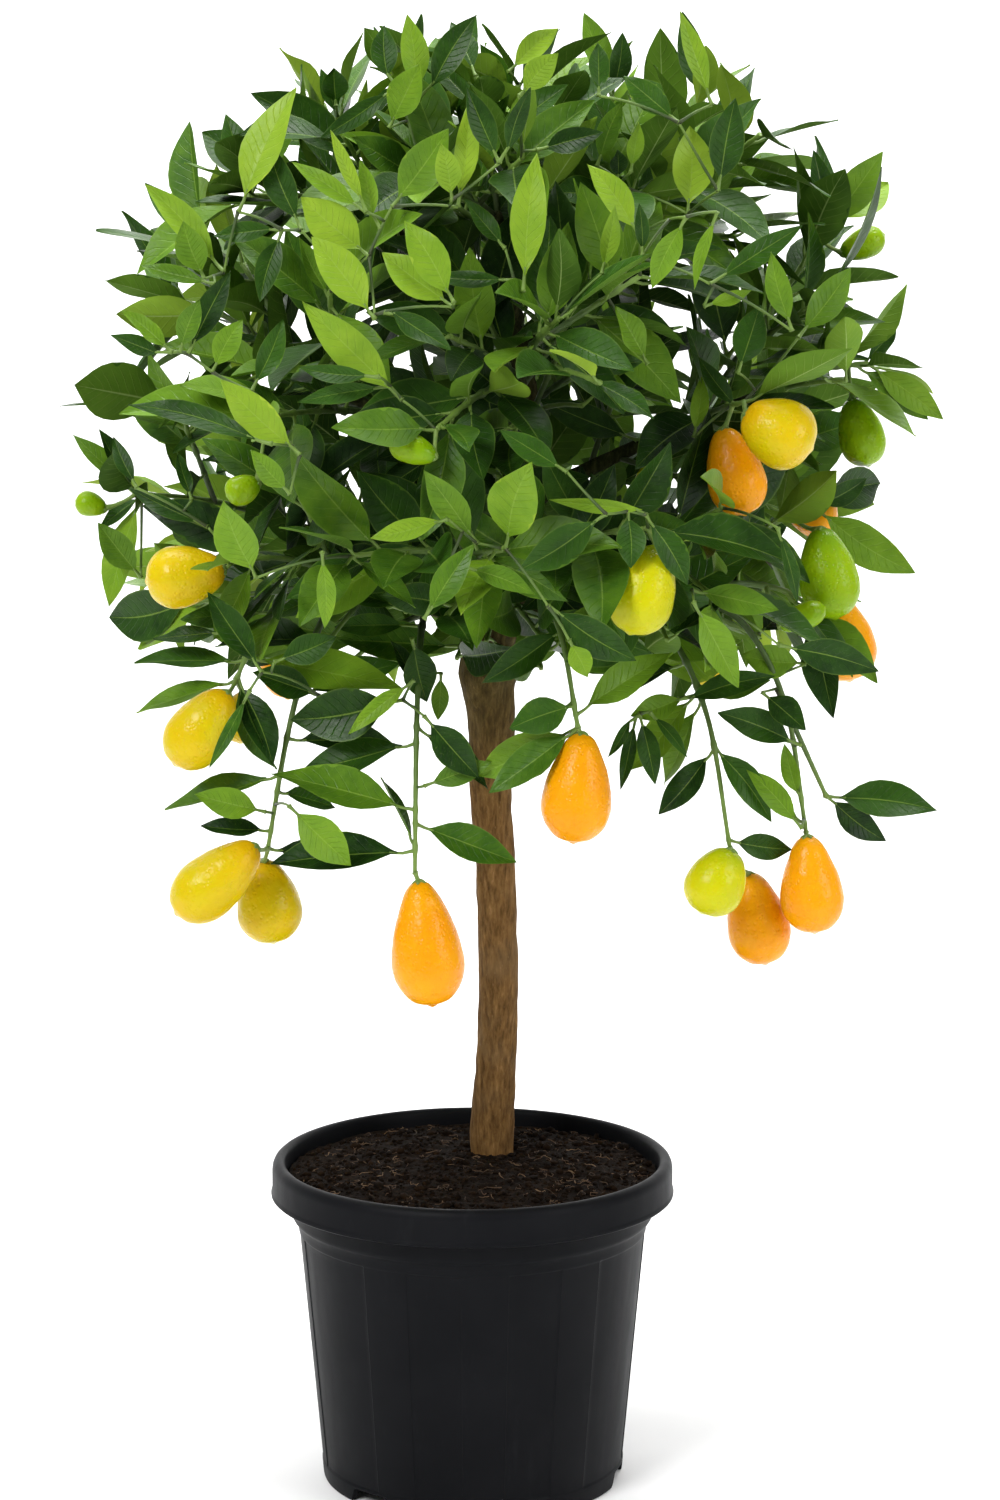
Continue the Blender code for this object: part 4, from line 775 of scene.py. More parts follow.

# Leaves set one by one where the front view shows them before the others: across and down of
# the base, across and down of the tip, width as a share of the length, and tone from 0 dark
# to 1 light as the front view shows the leaf: its own age together with painted light and shade
SEEN_LEAVES = (
    (403, 700, 289, 720, 0.50, 0.10), (320, 696, 254, 671, 0.52, 0.12), (412, 638, 428, 703, 0.55, 0.12),
    (414, 680, 347, 733, 0.24, 0.62), (441, 673, 438, 721, 0.40, 0.45),
    (424, 786, 491, 763, 0.36, 0.40), (424, 716, 479, 778, 0.46, 0.08),
    (289, 806, 352, 866, 0.50, 0.62), (225, 632, 152, 637, 0.30, 0.12), (262, 672, 209, 591, 0.36, 0.12),
    (250, 690, 209, 769, 0.16, 0.30), (274, 662, 336, 636, 0.50, 0.15), (414, 625, 333, 626, 0.32, 0.28),
    (477, 543, 424, 472, 0.38, 0.48), (448, 519, 370, 536, 0.32, 0.70), (424, 619, 474, 545, 0.36, 0.40),
    (464, 566, 535, 593, 0.33, 0.42), (256, 578, 223, 503, 0.56, 0.62), (322, 552, 325, 630, 0.27, 0.60),
    (141, 578, 98, 524, 0.46, 0.42), (208, 527, 128, 487, 0.24, 0.15), (266, 812, 196, 794, 0.45, 0.60),
    (577, 704, 510, 729, 0.55, 0.28), (686, 697, 631, 715, 0.46, 0.55), (678, 702, 774, 674, 0.28, 0.15),
    (801, 745, 720, 711, 0.40, 0.15), (802, 828, 747, 769, 0.34, 0.55), (799, 800, 784, 745, 0.34, 0.55),
    (692, 590, 779, 609, 0.36, 0.45), (694, 602, 741, 688, 0.40, 0.58), (806, 664, 742, 655, 0.58, 0.55),
    (779, 645, 880, 672, 0.36, 0.08), (762, 692, 806, 729, 0.58, 0.10), (646, 515, 690, 585, 0.40, 0.18),
    (628, 511, 631, 568, 0.58, 0.22), (655, 511, 550, 500, 0.16, 0.70), (606, 514, 518, 572, 0.38, 0.22),
    (568, 626, 481, 682, 0.34, 0.15), (548, 606, 637, 662, 0.38, 0.12), (569, 640, 588, 678, 0.60, 0.65),
    (778, 528, 800, 603, 0.22, 0.15), (636, 716, 620, 790, 0.22, 0.12), (640, 714, 656, 784, 0.34, 0.12),
    (650, 712, 688, 757, 0.24, 0.22), (634, 714, 607, 757, 0.24, 0.22),
    (369, 256, 302, 196, 0.54, 0.80), (375, 319, 312, 235, 0.44, 0.78), (402, 400, 304, 302, 0.30, 0.72),
    (453, 307, 382, 251, 0.46, 0.72), (454, 303, 403, 221, 0.42, 0.65), (392, 207, 447, 129, 0.46, 0.50),
    (383, 306, 451, 347, 0.36, 0.15), (514, 280, 428, 276, 0.22, 0.18), (523, 292, 538, 152, 0.28, 0.72),
    (374, 225, 360, 159, 0.30, 0.60), (366, 212, 291, 161, 0.24, 0.62), (366, 209, 331, 130, 0.19, 0.80),
    (458, 207, 469, 101, 0.26, 0.85), (452, 200, 441, 145, 0.46, 0.75), (390, 386, 297, 402, 0.23, 0.25),
    (379, 377, 297, 366, 0.24, 0.22), (505, 248, 466, 199, 0.42, 0.18), (301, 230, 266, 138, 0.36, 0.12),
    (282, 230, 260, 301, 0.36, 0.15), (397, 87, 319, 138, 0.24, 0.15),
    (688, 214, 691, 126, 0.56, 0.85), (718, 191, 737, 99, 0.42, 0.15), (640, 236, 588, 163, 0.38, 0.75),
    (602, 274, 616, 206, 0.32, 0.68), (679, 123, 623, 75, 0.40, 0.28), (599, 96, 599, 42, 0.46, 0.20),
    (710, 284, 804, 225, 0.24, 0.20), (798, 338, 852, 267, 0.40, 0.45), (792, 331, 771, 252, 0.34, 0.50),
    (738, 373, 760, 305, 0.52, 0.18), (739, 411, 699, 357, 0.32, 0.15), (694, 437, 701, 376, 0.32, 0.62),
    (704, 306, 752, 290, 0.32, 0.65), (712, 105, 682, 10, 0.25, 0.70),
    (238, 212, 293, 86, 0.35, 0.80), (224, 272, 145, 182, 0.28, 0.72), (204, 279, 183, 222, 0.56, 0.50),
    (215, 284, 140, 263, 0.25, 0.38), (188, 354, 229, 271, 0.32, 0.08), (281, 228, 213, 235, 0.34, 0.22),
    (172, 352, 124, 310, 0.34, 0.55), (164, 356, 112, 335, 0.38, 0.15), (179, 352, 198, 300, 0.42, 0.40),
    (212, 372, 243, 320, 0.48, 0.58), (252, 391, 284, 319, 0.36, 0.25), (300, 455, 220, 381, 0.38, 0.78),
    (272, 444, 128, 400, 0.20, 0.12), (290, 494, 252, 451, 0.42, 0.55), (137, 488, 113, 436, 0.32, 0.10),
    (192, 500, 178, 452, 0.34, 0.12), (388, 84, 384, 24, 0.48, 0.15), (418, 99, 408, 13, 0.36, 0.68),
    (426, 96, 477, 15, 0.36, 0.15), (389, 128, 418, 64, 0.54, 0.60), (336, 106, 334, 68, 0.80, 0.18),
    (508, 72, 559, 27, 0.40, 0.78), (519, 96, 557, 53, 0.52, 0.72), (499, 163, 467, 88, 0.36, 0.12),
    (505, 159, 531, 89, 0.30, 0.12), (537, 150, 602, 132, 0.40, 0.10), (597, 166, 623, 102, 0.34, 0.40),
    (631, 172, 639, 123, 0.36, 0.66), (618, 179, 618, 150, 0.70, 0.08), (686, 217, 653, 289, 0.38, 0.58),
    (717, 212, 693, 290, 0.18, 0.62), (643, 255, 639, 204, 0.32, 0.12), (648, 364, 618, 306, 0.46, 0.50),
    (637, 440, 540, 399, 0.32, 0.10), (567, 472, 500, 430, 0.34, 0.22),
)

# The depths at which such a leaf is tried, in millimetres: first, last and step. Where it ends up
# more than STEM_SHORTEST from a twig, a stem with these radii runs to it.
SEEN_DEPTHS = (-226, 60, 5)
SEEN_LEANS = (-14, 8)
SEEN_TURN = 0.35
SEEN_ARCH = 0.06
SEEN_FOLD = math.radians(13)
SEEN_ROOM = 0.6
STEM_SHORTEST = 5.0
STEM_RADII = (0.85, 0.6)
STEM_STEPS = 4

# How many units of the front view a millimetre takes at fruits and at seen leaves, and how far
# filling leaves keep from both there
FRUIT_IN_VIEW = 1.85
FRUIT_CLEARANCE = 14
LEAF_IN_VIEW = 1.95
LEAF_CLEARANCE = 6

# Side shoots that close the crown between the sprays, and the leaves that fill it. These keep
# above CROWN_FLOOR in the front view and out of the open places: across, down and reach.
SHOOT_SHARES = (0.16, 0.27, 0.38, 0.49, 0.60, 0.71, 0.82, 0.93)
SHOOT_REACH = (46.0, 84.0)
SHOOT_LEAVES = (6, 8)
SHOOT_LEAF_LENGTH = 57.0
SHOOT_STEPS = 4
FILLING_ROOM = 0.3
NEAR_REACH = 0.085
CROWN_FLOOR = 668.0
OPEN_PLACES = (
    (270, 75, 22), (215, 120, 22), (160, 165, 20), (118, 275, 26), (100, 370, 34), (66, 370, 26),
    (880, 225, 18), (885, 275, 24), (884, 325, 34), (890, 380, 16), (905, 470, 22), (880, 600, 16),
    (528, 420, 14), (528, 460, 14), (527, 503, 16), (521, 535, 14), (565, 40, 20), (770, 110, 26),
)

# Peel colours: on the whole, in the clouds and at the stem end
FRUIT_KINDS = {
    "orange": ((0.84, 0.305, 0.001), (0.87, 0.37, 0.001), (0.82, 0.36, 0.002)),
    "yellow": ((0.67, 0.455, 0.002), (0.60, 0.48, 0.002), (0.74, 0.39, 0.003)),
    "lime": ((0.60, 0.56, 0.002), (0.50, 0.52, 0.003), (0.24, 0.36, 0.004)),
    "green": ((0.26, 0.41, 0.002), (0.19, 0.35, 0.002), (0.11, 0.25, 0.002)),
}

# Fine fruit: share of the length, half-width when oval and when drawn out
FRUIT_PROFILE = (
    (0.0, 0.0, 0.0), (0.03, 0.36, 0.27), (0.20, 0.78, 0.60), (0.45, 1.01, 0.93), (0.70, 1.0, 1.04),
    (0.90, 0.65, 0.71), (0.955, 0.40, 0.44), (0.972, 0.21, 0.22), (0.985, 0.13, 0.13), (1.0, 0.0, 0.0),
)
FRUIT_FINE_SIDES = 44
FRUIT_FINE_STEPS = 40
FRUIT_LUMPS = ((0.10, 0.30), (0.28, 0.16))
LUMPY_RADIUS = 6.0

# Fruit stalk and calyx, in millimetres: the stalk's radii from twig to fruit, and the calyx's
# rings as share of its size and height over the shoulder
STALK_RADII = (1.7, 1.35, 1.2, 1.15, 1.15, 1.25, 1.5, 1.95, 2.5)
STALK_FINE_SIDES = 8
STALK_OVERLAP = 1.2
STALK_SAG = 0.06
CALYX_RINGS = ((0.35, 1.1), (0.62, 0.8), (0.82, 0.55), (1.0, 0.25), (0.9, -0.15), (0.5, -0.2))
CALYX_LOBES = 5
CALYX_LOBE_POINTS = 8


# Fine shapes, in numpy


def placed(name, data):
    """A new object of the scene."""
    made = bpy.data.objects.new(name, data)
    bpy.context.scene.collection.objects.link(made)
    return made


class Piece:
    """A piece being built: its points, faces, material numbers and named values at each point."""

    def __init__(self, name, *value_names):
        self.name = name
        self.points = []
        self.faces = []
        self.kinds = []
        self.values = {value: [] for value in value_names}

    def add(self, points, faces, kind=0, **values):
        """Adds points and lists of faces in one material, with the named values at the points."""
        points = np.asarray(points, float)
        first = sum(len(part) for part in self.points)
        self.points.append(points)
        for face_rows in faces:
            rows = (np.asarray(face_rows) + first).tolist()
            self.faces += rows
            self.kinds += [kind] * len(rows)
        for value, parts in self.values.items():
            parts.append(np.broadcast_to(np.asarray(values.get(value, 0.0), float), (len(points),)))

    def made(self, looks, node=None, slot=None):
        """The finished object, in its materials, riding on the one body."""
        mesh = bpy.data.meshes.new(self.name)
        mesh.from_pydata(np.vstack(self.points), [], self.faces)
        mesh.polygons.foreach_set("material_index", self.kinds)
        mesh.polygons.foreach_set("use_smooth", [True] * len(self.faces))
        for value, parts in self.values.items():
            layer = mesh.attributes.new(value, "FLOAT", "POINT")
            layer.data.foreach_set("value", np.concatenate(parts).astype(np.float32))
        for look in looks:
            mesh.materials.append(look)
        made = placed(self.name, mesh)
        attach(made, "root")
        if node:
            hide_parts(node)


def grid_faces(rows, columns, closed=False):
    """Quads of a grid of points, row after row, joined round if it is closed."""
    row = np.arange(rows - 1)[:, None] * columns
    column = np.arange(columns if closed else columns - 1)[None]
    a = row + column
    b = row + (column + 1) % columns
    return np.stack([a, b, b + columns, a + columns], -1).reshape(-1, 4)


def fan_faces(rim, middle, flip=False):
    """Triangles from a ring of points to one point."""
    rim = np.asarray(rim)
    rows = np.stack([rim, np.roll(rim, -1), np.full(len(rim), middle)], 1)
    return rows[:, ::-1] if flip else rows


def unit(rows):
    """Vectors of length one."""
    return rows / np.linalg.norm(rows, axis=-1, keepdims=True)


def smooth_rows(rows, step):
    """Rows about step metres apart on a smooth curve through the given rows."""
    rows = np.asarray(rows, float)
    ends = np.vstack([2 * rows[0] - rows[1], rows, 2 * rows[-1] - rows[-2]])
    parts = []
    for a, b, c, d in zip(ends, ends[1:], ends[2:], ends[3:]):
        count = max(1, round(np.linalg.norm((c - b)[:3]) / step))
        t = np.arange(count)[:, None] / count
        parts.append(b + 0.5 * t * (c - a + t * (2 * a - 5 * b + 4 * c - d + t * (3 * b - a - 3 * c + d))))
    return np.vstack([*parts, rows[-1:]])


def smooth_values(at_places, places, values):
    """Values on a smooth curve through the given ones."""
    slopes = np.gradient(values, places)
    i = np.clip(np.searchsorted(places, at_places, side="right") - 1, 0, len(places) - 2)
    span = places[i + 1] - places[i]
    t = (at_places - places[i]) / span
    start = values[i] * (1 + 2 * t) * (1 - t) ** 2 + slopes[i] * span * t * (1 - t) ** 2
    return start + values[i + 1] * t * t * (3 - 2 * t) - slopes[i + 1] * span * t * t * (1 - t)


def rings_round(line, radii, sides):
    """Rings of points round a line, with the directions in which they stand out."""
    tangents = unit(np.gradient(line, axis=0))
    side = np.array(across_of(Vector(tangents[0])))
    kept = []
    for tangent in tangents:
        side = side - tangent * side.dot(tangent)
        side = side / np.linalg.norm(side)
        kept.append(side)
    kept = np.array(kept)
    other = np.cross(tangents, kept)
    angles = math.tau * np.arange(sides) / sides
    cosines, sines = np.cos(angles)[None, :, None], np.sin(angles)[None, :, None]
    outward = cosines * kept[:, None] + sines * other[:, None]
    radii = np.asarray(radii, float)
    if radii.ndim == 1:
        radii = radii[:, None]
    return line[:, None] + outward * radii[..., None], outward


def closed_tube(rings):
    """Points and faces of a tube with a middle point in each end."""
    count, sides = rings.shape[:2]
    points = np.vstack([rings.reshape(-1, 3), rings[0].mean(0)[None], rings[-1].mean(0)[None]])
    last = count * sides
    faces = [
        grid_faces(count, sides, True),
        fan_faces(np.arange(sides), last, True),
        fan_faces(np.arange(last - sides, last), last + 1),
    ]
    return points, faces


# Leaves, twigs and shoots


def share_between(value, low, high):
    """The value's place between low, 0, and high, 1, held to the ends."""
    return min(max((value - low) / (high - low), 0.0), 1.0)


def middle_of(leaf):
    """The middle of a leaf's blade."""
    return leaf["base"] + leaf["direction"] * leaf["length"] * LEAF_MIDDLE_SHARE * MM


def leaf_tone(leaf):
    """From 0 dark to 1 light: old or young by the leaf's own drawn shade, darker in painted shade inside
    and under the crown, lighter in painted light higher up.
    """
    if "tone" in leaf:
        return leaf["tone"]
    middle = middle_of(leaf)
    away = middle - CROWN_MIDDLE
    reach = math.sqrt(sum((a / half) ** 2 for a, half in zip(away, CROWN_HALF)))
    # Painted shade darkens leaves deep in the crown and hanging below it; painted light lightens the higher
    # leaves.
    outer = share_between(reach, *INNER_SHADE_REACH)
    high = share_between(middle.z, *PAINTED_LIGHT_HEIGHTS)
    hanging = share_between(middle.z, *HANGING_SHADE_HEIGHTS)
    own = 0.06 + 0.62 * leaf["shade"] ** 1.6 + 0.08 * high
    return own * (0.25 + 0.75 * outer) * (1 - 0.5 * hanging)


def add_leaf(piece, leaf, anchor, draw):
    """A fine leaf: petiole, thin blade with a fold, waves and a twist, and a raised midrib below."""
    length, width = leaf["length"] * MM, leaf["width"] * MM
    direction, normal = np.array(leaf["direction"]), np.array(leaf["normal"])
    side = unit(np.cross(direction, normal))
    along_blade = np.array(LEAF_ALONG)
    share = PETIOLE_SHARE + (1 - PETIOLE_SHARE) * along_blade
    bow = draw.uniform(-LEAF_BOW, LEAF_BOW) * length * np.sin(math.pi * along_blade)
    middles = np.array(leaf["base"]) + np.outer(share * length, direction)
    middles += np.outer(bow, side) - np.outer(leaf["arch"] * length * share**2, normal)
    up = unit(normal + np.outer(2 * leaf["arch"] * share, direction))
    turn = draw.uniform(-LEAF_TWIST, LEAF_TWIST) * along_blade**1.5
    sides = np.cos(turn)[:, None] * side + np.sin(turn)[:, None] * up
    ups = np.cos(turn)[:, None] * up - np.sin(turn)[:, None] * side
    across = np.array(LEAF_ACROSS)[None]
    half = (np.array(LEAF_HALVES) * width / 2)[:, None]
    fold = leaf["fold"] * draw.uniform(*LEAF_FOLD_CHANGE)
    lift = half * math.sin(fold) * np.abs(across) ** 1.25
    for sign in (-1, 1):
        turns = draw.uniform(*WAVE_TURNS) * along_blade + draw.random()
        wave = draw.uniform(*WAVE_HEIGHTS) * MM * np.sin(math.tau * turns)[:, None]
        lift = lift + wave * np.where(across * sign > 0, across**2, 0.0)
    rib = np.exp(-((across * half / (MIDRIB_HALF_WIDTH * MM)) ** 2)) * (1 - 0.8 * along_blade)[:, None]
    thin = 1 - across**4
    upper = lift + (LEAF_HALF_THICKNESS * thin - MIDRIB_GROOVE * rib * thin) * MM
    lower = lift - (LEAF_HALF_THICKNESS * thin + MIDRIB_RIDGE * rib * thin) * MM
    flat = middles[:, None] + sides[:, None] * (half * math.cos(fold) * across)[..., None]
    rows, columns = len(along_blade), across.shape[1]
    faces = grid_faces(rows, columns)
    tone = leaf_tone(leaf)
    named = {
        "along": np.repeat(along_blade, columns),
        "across": np.tile(across[0], rows),
        "tone": tone,
    }
    piece.add((flat + ups[:, None] * upper[..., None]).reshape(-1, 3), [faces], 0, **named)
    piece.add((flat + ups[:, None] * lower[..., None]).reshape(-1, 3), [faces[:, ::-1]], 1, **named)
    inner = middles[0] + PETIOLE_OVERLAP * length * unit(middles[1] - middles[0])
    add_petiole(piece, np.array(anchor), inner, PETIOLE_OVERLAP * length * up[0], tone)


def add_petiole(piece, anchor, inner, hang, tone):
    """The stalk of a leaf, from its twig to a little way into the blade."""
    shares, radii = np.array(PETIOLE_ROWS).T
    line = anchor + np.outer(shares, inner - anchor)
    line -= np.outer(np.sin(math.pi * shares) * PETIOLE_SAG, hang)
    rings, _ = rings_round(line, radii * MM, PETIOLE_SIDES)
    piece.add(*closed_tube(rings), 2, along=0.9, tone=tone)


def fine_line(twig):
    """A twig's smooth line with the radius as a fourth number."""
    radii = twig.get("radii") or [radius * TWIG_SWELL for radius in radii_of(twig)]
    rows = [(*point, radius * MM) for point, radius in zip(twig["path"], radii)]
    return smooth_rows(rows, TWIG_STEP * MM)


def add_twig(piece, line, buds, draw):
    """A fine twig, swollen at its buds, greener towards its end."""
    swell = np.ones(len(line))
    for bud in buds:
        away = np.linalg.norm(line[:, :3] - bud, axis=1)
        swell += BUD_SWELL * np.exp(-((away / (BUD_REACH * MM)) ** 2))
    swell += np.array([draw.uniform(-TWIG_UNEVEN, TWIG_UNEVEN) for _ in line])
    rings, _ = rings_round(line[:, :3], line[:, 3] * swell, TWIG_FINE_SIDES)
    along_twig = np.repeat(np.linspace(0, 1, len(line)), TWIG_FINE_SIDES)
    points, faces = closed_tube(rings)
    piece.add(points, faces, 2, along=np.append(along_twig, (0.0, 1.0)), tone=0.3)


def nearest_of(lines, point):
    """The nearest point to this one on several lines."""
    places = np.vstack([line[:, :3] for line in lines])
    return places[np.argmin(np.linalg.norm(places - np.array(point), axis=1))]


def spray_piece(name, twigs, leaves, looks, node=None, slot=None):
    """One leafy spray: its twigs and leaves in fine detail."""
    draw = random.Random(f"{SEED} fine {name}")
    piece = Piece(f"{name}_fine", "along", "across", "tone")
    lines = [fine_line(twig) for twig in twigs]
    anchors = [nearest_of(lines, leaf["base"]) for leaf in leaves]
    for line in lines:
        add_twig(piece, line, anchors, draw)
    for leaf, anchor in zip(leaves, anchors):
        add_leaf(piece, leaf, anchor, draw)
    piece.made(looks, node, slot)


def seen_leaf(row, depth, lean, turn):
    """A leaf between two places in the front view, with its base at this depth."""
    base_across, base_down, tip_across, tip_down, width_share, tone = row
    base = at(base_across, base_down, depth)
    tip = at(tip_across, tip_down, depth + lean)
    direction = (tip - base).normalized()
    normal = TO_FRONT + UP * 0.3
    normal = Quaternion(direction, turn) @ (normal - direction * normal.dot(direction)).normalized()
    length = (tip - base).length / MM
    return {
        "base": base,
        "direction": direction,
        "normal": normal,
        "length": length,
        "width": length * width_share,
        "arch": SEEN_ARCH,
        "fold": SEEN_FOLD,
        "tone": tone,
    }


def near_trees(leaf, middles, trees):
    """The search trees of the leaves that stand close enough to touch this one."""
    middle = middle_of(leaf)
    return [tree for other, tree in zip(middles, trees) if (other - middle).length < NEAR_REACH]


def resting_place(row, lean, turn, carriers, fixed, middles, trees):
    """The clear place of a seen leaf that is nearest to a twig, as distance, spray, twig point, leaf."""
    best = None
    for depth in range(*SEEN_DEPTHS):
        leaf = seen_leaf(row, depth, lean, turn)
        if meets(leaf_shape(leaf, SEEN_ROOM), fixed + near_trees(leaf, middles, trees)):
            if best:
                break
            continue
        for name, line in carriers:
            away = np.linalg.norm(line - np.array(leaf["base"]), axis=1)
            place = int(np.argmin(away))
            if best is None or away[place] < best[0]:
                best = (away[place], name, line[place], leaf)
    return best


def grow_seen(twigs, fixed, middles, trees):
    """The leaves seen first from the front, each laid on the foliage behind it, on a short twig."""
    carriers = [(name, fine_line(twig)[:, :3]) for name, rows in twigs.items() for twig in rows]
    found = {name: [] for name in twigs}
    stems = {name: [] for name in twigs}
    for k, row in enumerate(SEEN_LEAVES):
        draw = random.Random(f"{SEED} seen {k}")
        lean, turn = draw.uniform(*SEEN_LEANS), draw.uniform(-SEEN_TURN, SEEN_TURN)
        best = resting_place(row, lean, turn, carriers, fixed, middles, trees)
        if best is None:
            continue
        reach, name, start, leaf = best
        if reach > STEM_SHORTEST * MM:
            start, end = Vector(start), leaf["base"]
            towards = start.lerp(end, 0.5) + UP * draw.uniform(-0.05, 0.12) * reach
            path = bent(start, towards, end, STEM_STEPS)
            stem = {"path": path, "radii": taper(*STEM_RADII, len(path))}
            stems[name].append(stem)
            carriers.append((name, fine_line(stem)[:, :3]))
        found[name].append(leaf)
        middles.append(middle_of(leaf))
        trees.append(tree_of([leaf_shape(leaf)]))
    return found, stems


def hides_seen(points, seen):
    """Whether any of these points stands before a leaf that is to be seen."""
    for base, tip, half, nearest in seen:
        span = tip - base
        for point, flat in points:
            if point.y > nearest:
                continue
            share = min(max((flat - base).dot(span) / span.length_squared, 0.0), 1.0)
            if (flat - base.lerp(tip, share)).length < half:
                return True
    return False


def hides_fruit(points, fruits):
    """Whether any of these points stands before a fruit in the front view."""
    for name, fruit in fruits.items():
        if "_back_" in name:
            continue
        ends = [seen_from_front(fruit["stem"]), seen_from_front(fruit["tip"])]
        reach = fruit["width"] / 2 * FRUIT_IN_VIEW + FRUIT_CLEARANCE
        for point in points:
            if point.y > max(fruit["stem"].y, fruit["tip"].y) + 0.01:
                continue
            seen = seen_from_front(point)
            if any((seen - ends[0].lerp(ends[1], share)).length < reach for share in (0.1, 0.5, 0.9)):
                return True
    return False


def allowed(leaf, fruits, seen):
    """Whether a filling leaf keeps inside the crown, off the fruits and out of the open places."""
    points = [leaf_frame(leaf, share)[0] for share in (0.15, 0.4, 0.7, 1.0)]
    if outside_crown(points[-1]):
        return False
    flat = [seen_from_front(point) for point in points]
    for place in flat:
        if place.y > CROWN_FLOOR:
            return False
        for across, down, reach in OPEN_PLACES:
            if math.hypot(place.x - across, place.y - down) < reach:
                return False
    return not hides_fruit(points, fruits) and not hides_seen(list(zip(points, flat)), seen)


def grow_shoots(wood):
    """Short side shoots along every limb, as twigs."""
    shoots = {}
    for name in LIMBS:
        draw = random.Random(f"{SEED} shoots {name}")
        clock = draw.uniform(0, math.tau)
        shoots[name] = []
        path, _ = wood[name]
        for k, share in enumerate(SHOOT_SHARES):
            base, run = along(path, share)
            radial = Quaternion(run, clock + k * GOLDEN_TURN) @ across_of(run)
            outward = (base - CROWN_MIDDLE).normalized()
            direction = (run * 0.5 + radial * 0.9 + outward * 0.45 + UP * 0.25).normalized()
            reach = draw.uniform(*SHOOT_REACH) * MM
            while reach > 0.02 and outside_crown(base + direction * (reach + 0.02)):
                reach -= 0.004
            end = base + direction * reach
            towards = base + direction * reach * 0.5 + UP * draw.uniform(0.0, 0.008)
            shoots[name].append({
                "path": bent(base, towards, end, SHOOT_STEPS),
                "forked": True,
                "leaves": draw.randint(*SHOOT_LEAVES),
                "length": SHOOT_LEAF_LENGTH,
            })
    return shoots


def filling_jobs(twigs, shoots):
    """Leaves to try on the shoots and between the leaves that the sprays already have."""
    jobs = []
    for group, rows_of in (("shoot", shoots), ("spray", twigs)):
        for name, rows in rows_of.items():
            draw = random.Random(f"{SEED} filling {group} {name}")
            for twig in rows:
                count = twig["leaves"]
                clock = draw.uniform(0, math.tau)
                for i in range(count):
                    share = 1.0 - 0.8 * (i + 0.4 * (group == "spray")) / max(count, 1)
                    leaf = rule_leaf(twig, share, clock + i * GOLDEN_TURN, draw)
                    jobs.append((group, name, twig, share, leaf))
    return jobs


def trimmed(shoot):
    """A shoot cut just beyond its last leaf."""
    last = min(max(shoot["kept"]) + 0.02, 1.0)
    path = [along(shoot["path"], last * k / SHOOT_STEPS)[0] for k in range(SHOOT_STEPS + 1)]
    return {**shoot, "path": path}


def grow_filling(twigs, shoots, leaves, wood, fruits):
    """The leaves that fill the crown, by shoot group and by spray, and the stems of the seen ones."""
    wood_shapes = [tube(path, radii, wood_sides(name)) for name, (path, radii) in wood.items()]
    fixed = [tree_of(wood_shapes)]
    fixed += [tree_of([fruit_shape(fruit, 1.0)]) for fruit in fruits.values()]
    middles, trees = [], []
    for rows in leaves.values():
        for leaf in rows:
            middles.append(middle_of(leaf))
            trees.append(tree_of([leaf_shape(leaf)]))
    by_spray, stems = grow_seen(twigs, fixed, middles, trees)
    seen = []
    for rows in by_spray.values():
        for leaf in rows:
            tip = leaf["base"] + leaf["direction"] * leaf["length"] * MM
            half = leaf["width"] * LEAF_IN_VIEW / 2 + LEAF_CLEARANCE
            nearest = max(leaf["base"].y, tip.y) + 0.004
            seen.append((seen_from_front(leaf["base"]), seen_from_front(tip), half, nearest))
    by_shoot = {name: [] for name in shoots}
    for group, name, twig, share, leaf in filling_jobs(twigs, shoots):
        for tried in leaf_tries(leaf):
            if not allowed(tried, fruits, seen):
                continue
            if meets(leaf_shape(tried, FILLING_ROOM), fixed + near_trees(tried, middles, trees)):
                continue
            (by_shoot if group == "shoot" else by_spray)[name].append(tried)
            twig.setdefault("kept", []).append(share)
            middles.append(middle_of(tried))
            trees.append(tree_of([leaf_shape(tried)]))
            break
    for name, rows in shoots.items():
        shoots[name] = [trimmed(shoot) for shoot in rows if "kept" in shoot]
    return by_shoot, by_spray, stems


# Fruits


def fruit_piece(name, fruit, anchor, looks):
    """A fine fruit: lumpy peel, nipple, calyx with five lobes and a stalk."""
    draw = random.Random(f"{SEED} fine {name}")
    piece = Piece(f"{name}_fine", "along", "tone")
    stem, tip = np.array(fruit["stem"]), np.array(fruit["tip"])
    axis = tip - stem
    length = np.linalg.norm(axis)
    turns = math.pi * np.arange(1, FRUIT_FINE_STEPS) / FRUIT_FINE_STEPS
    shares = (1 - np.cos(turns)) / 2
    line = stem + np.outer(shares, axis)
    radii = fruit_radii(fruit, shares)
    points = np.vstack([lumpy_rings(line, radii, draw).reshape(-1, 3), stem[None], tip[None]])
    count = len(line) * FRUIT_FINE_SIDES
    faces = [
        grid_faces(len(line), FRUIT_FINE_SIDES, True),
        fan_faces(np.arange(FRUIT_FINE_SIDES), count, True),
        fan_faces(np.arange(count - FRUIT_FINE_SIDES, count), count + 1),
    ]
    along_fruit = np.append(np.repeat(shares, FRUIT_FINE_SIDES), (0.0, 1.0))
    piece.add(points, faces, 0, along=along_fruit, tone=draw.random())
    add_calyx(piece, stem, axis / length, radii, line, fruit, draw)
    add_stalk(piece, anchor, stem, axis / length, fruit["width"])
    piece.made(looks, name)


def fruit_radii(fruit, shares):
    """The fruit's radius at shares of its length, smooth through the rows of its outline."""
    places, oval, drawn = np.array(FRUIT_PROFILE).T
    swell = oval + (drawn - oval) * fruit["neck"]
    turns = np.arccos(1 - 2 * shares)
    return smooth_values(turns, np.arccos(1 - 2 * places), swell) * fruit["width"] / 2 * MM


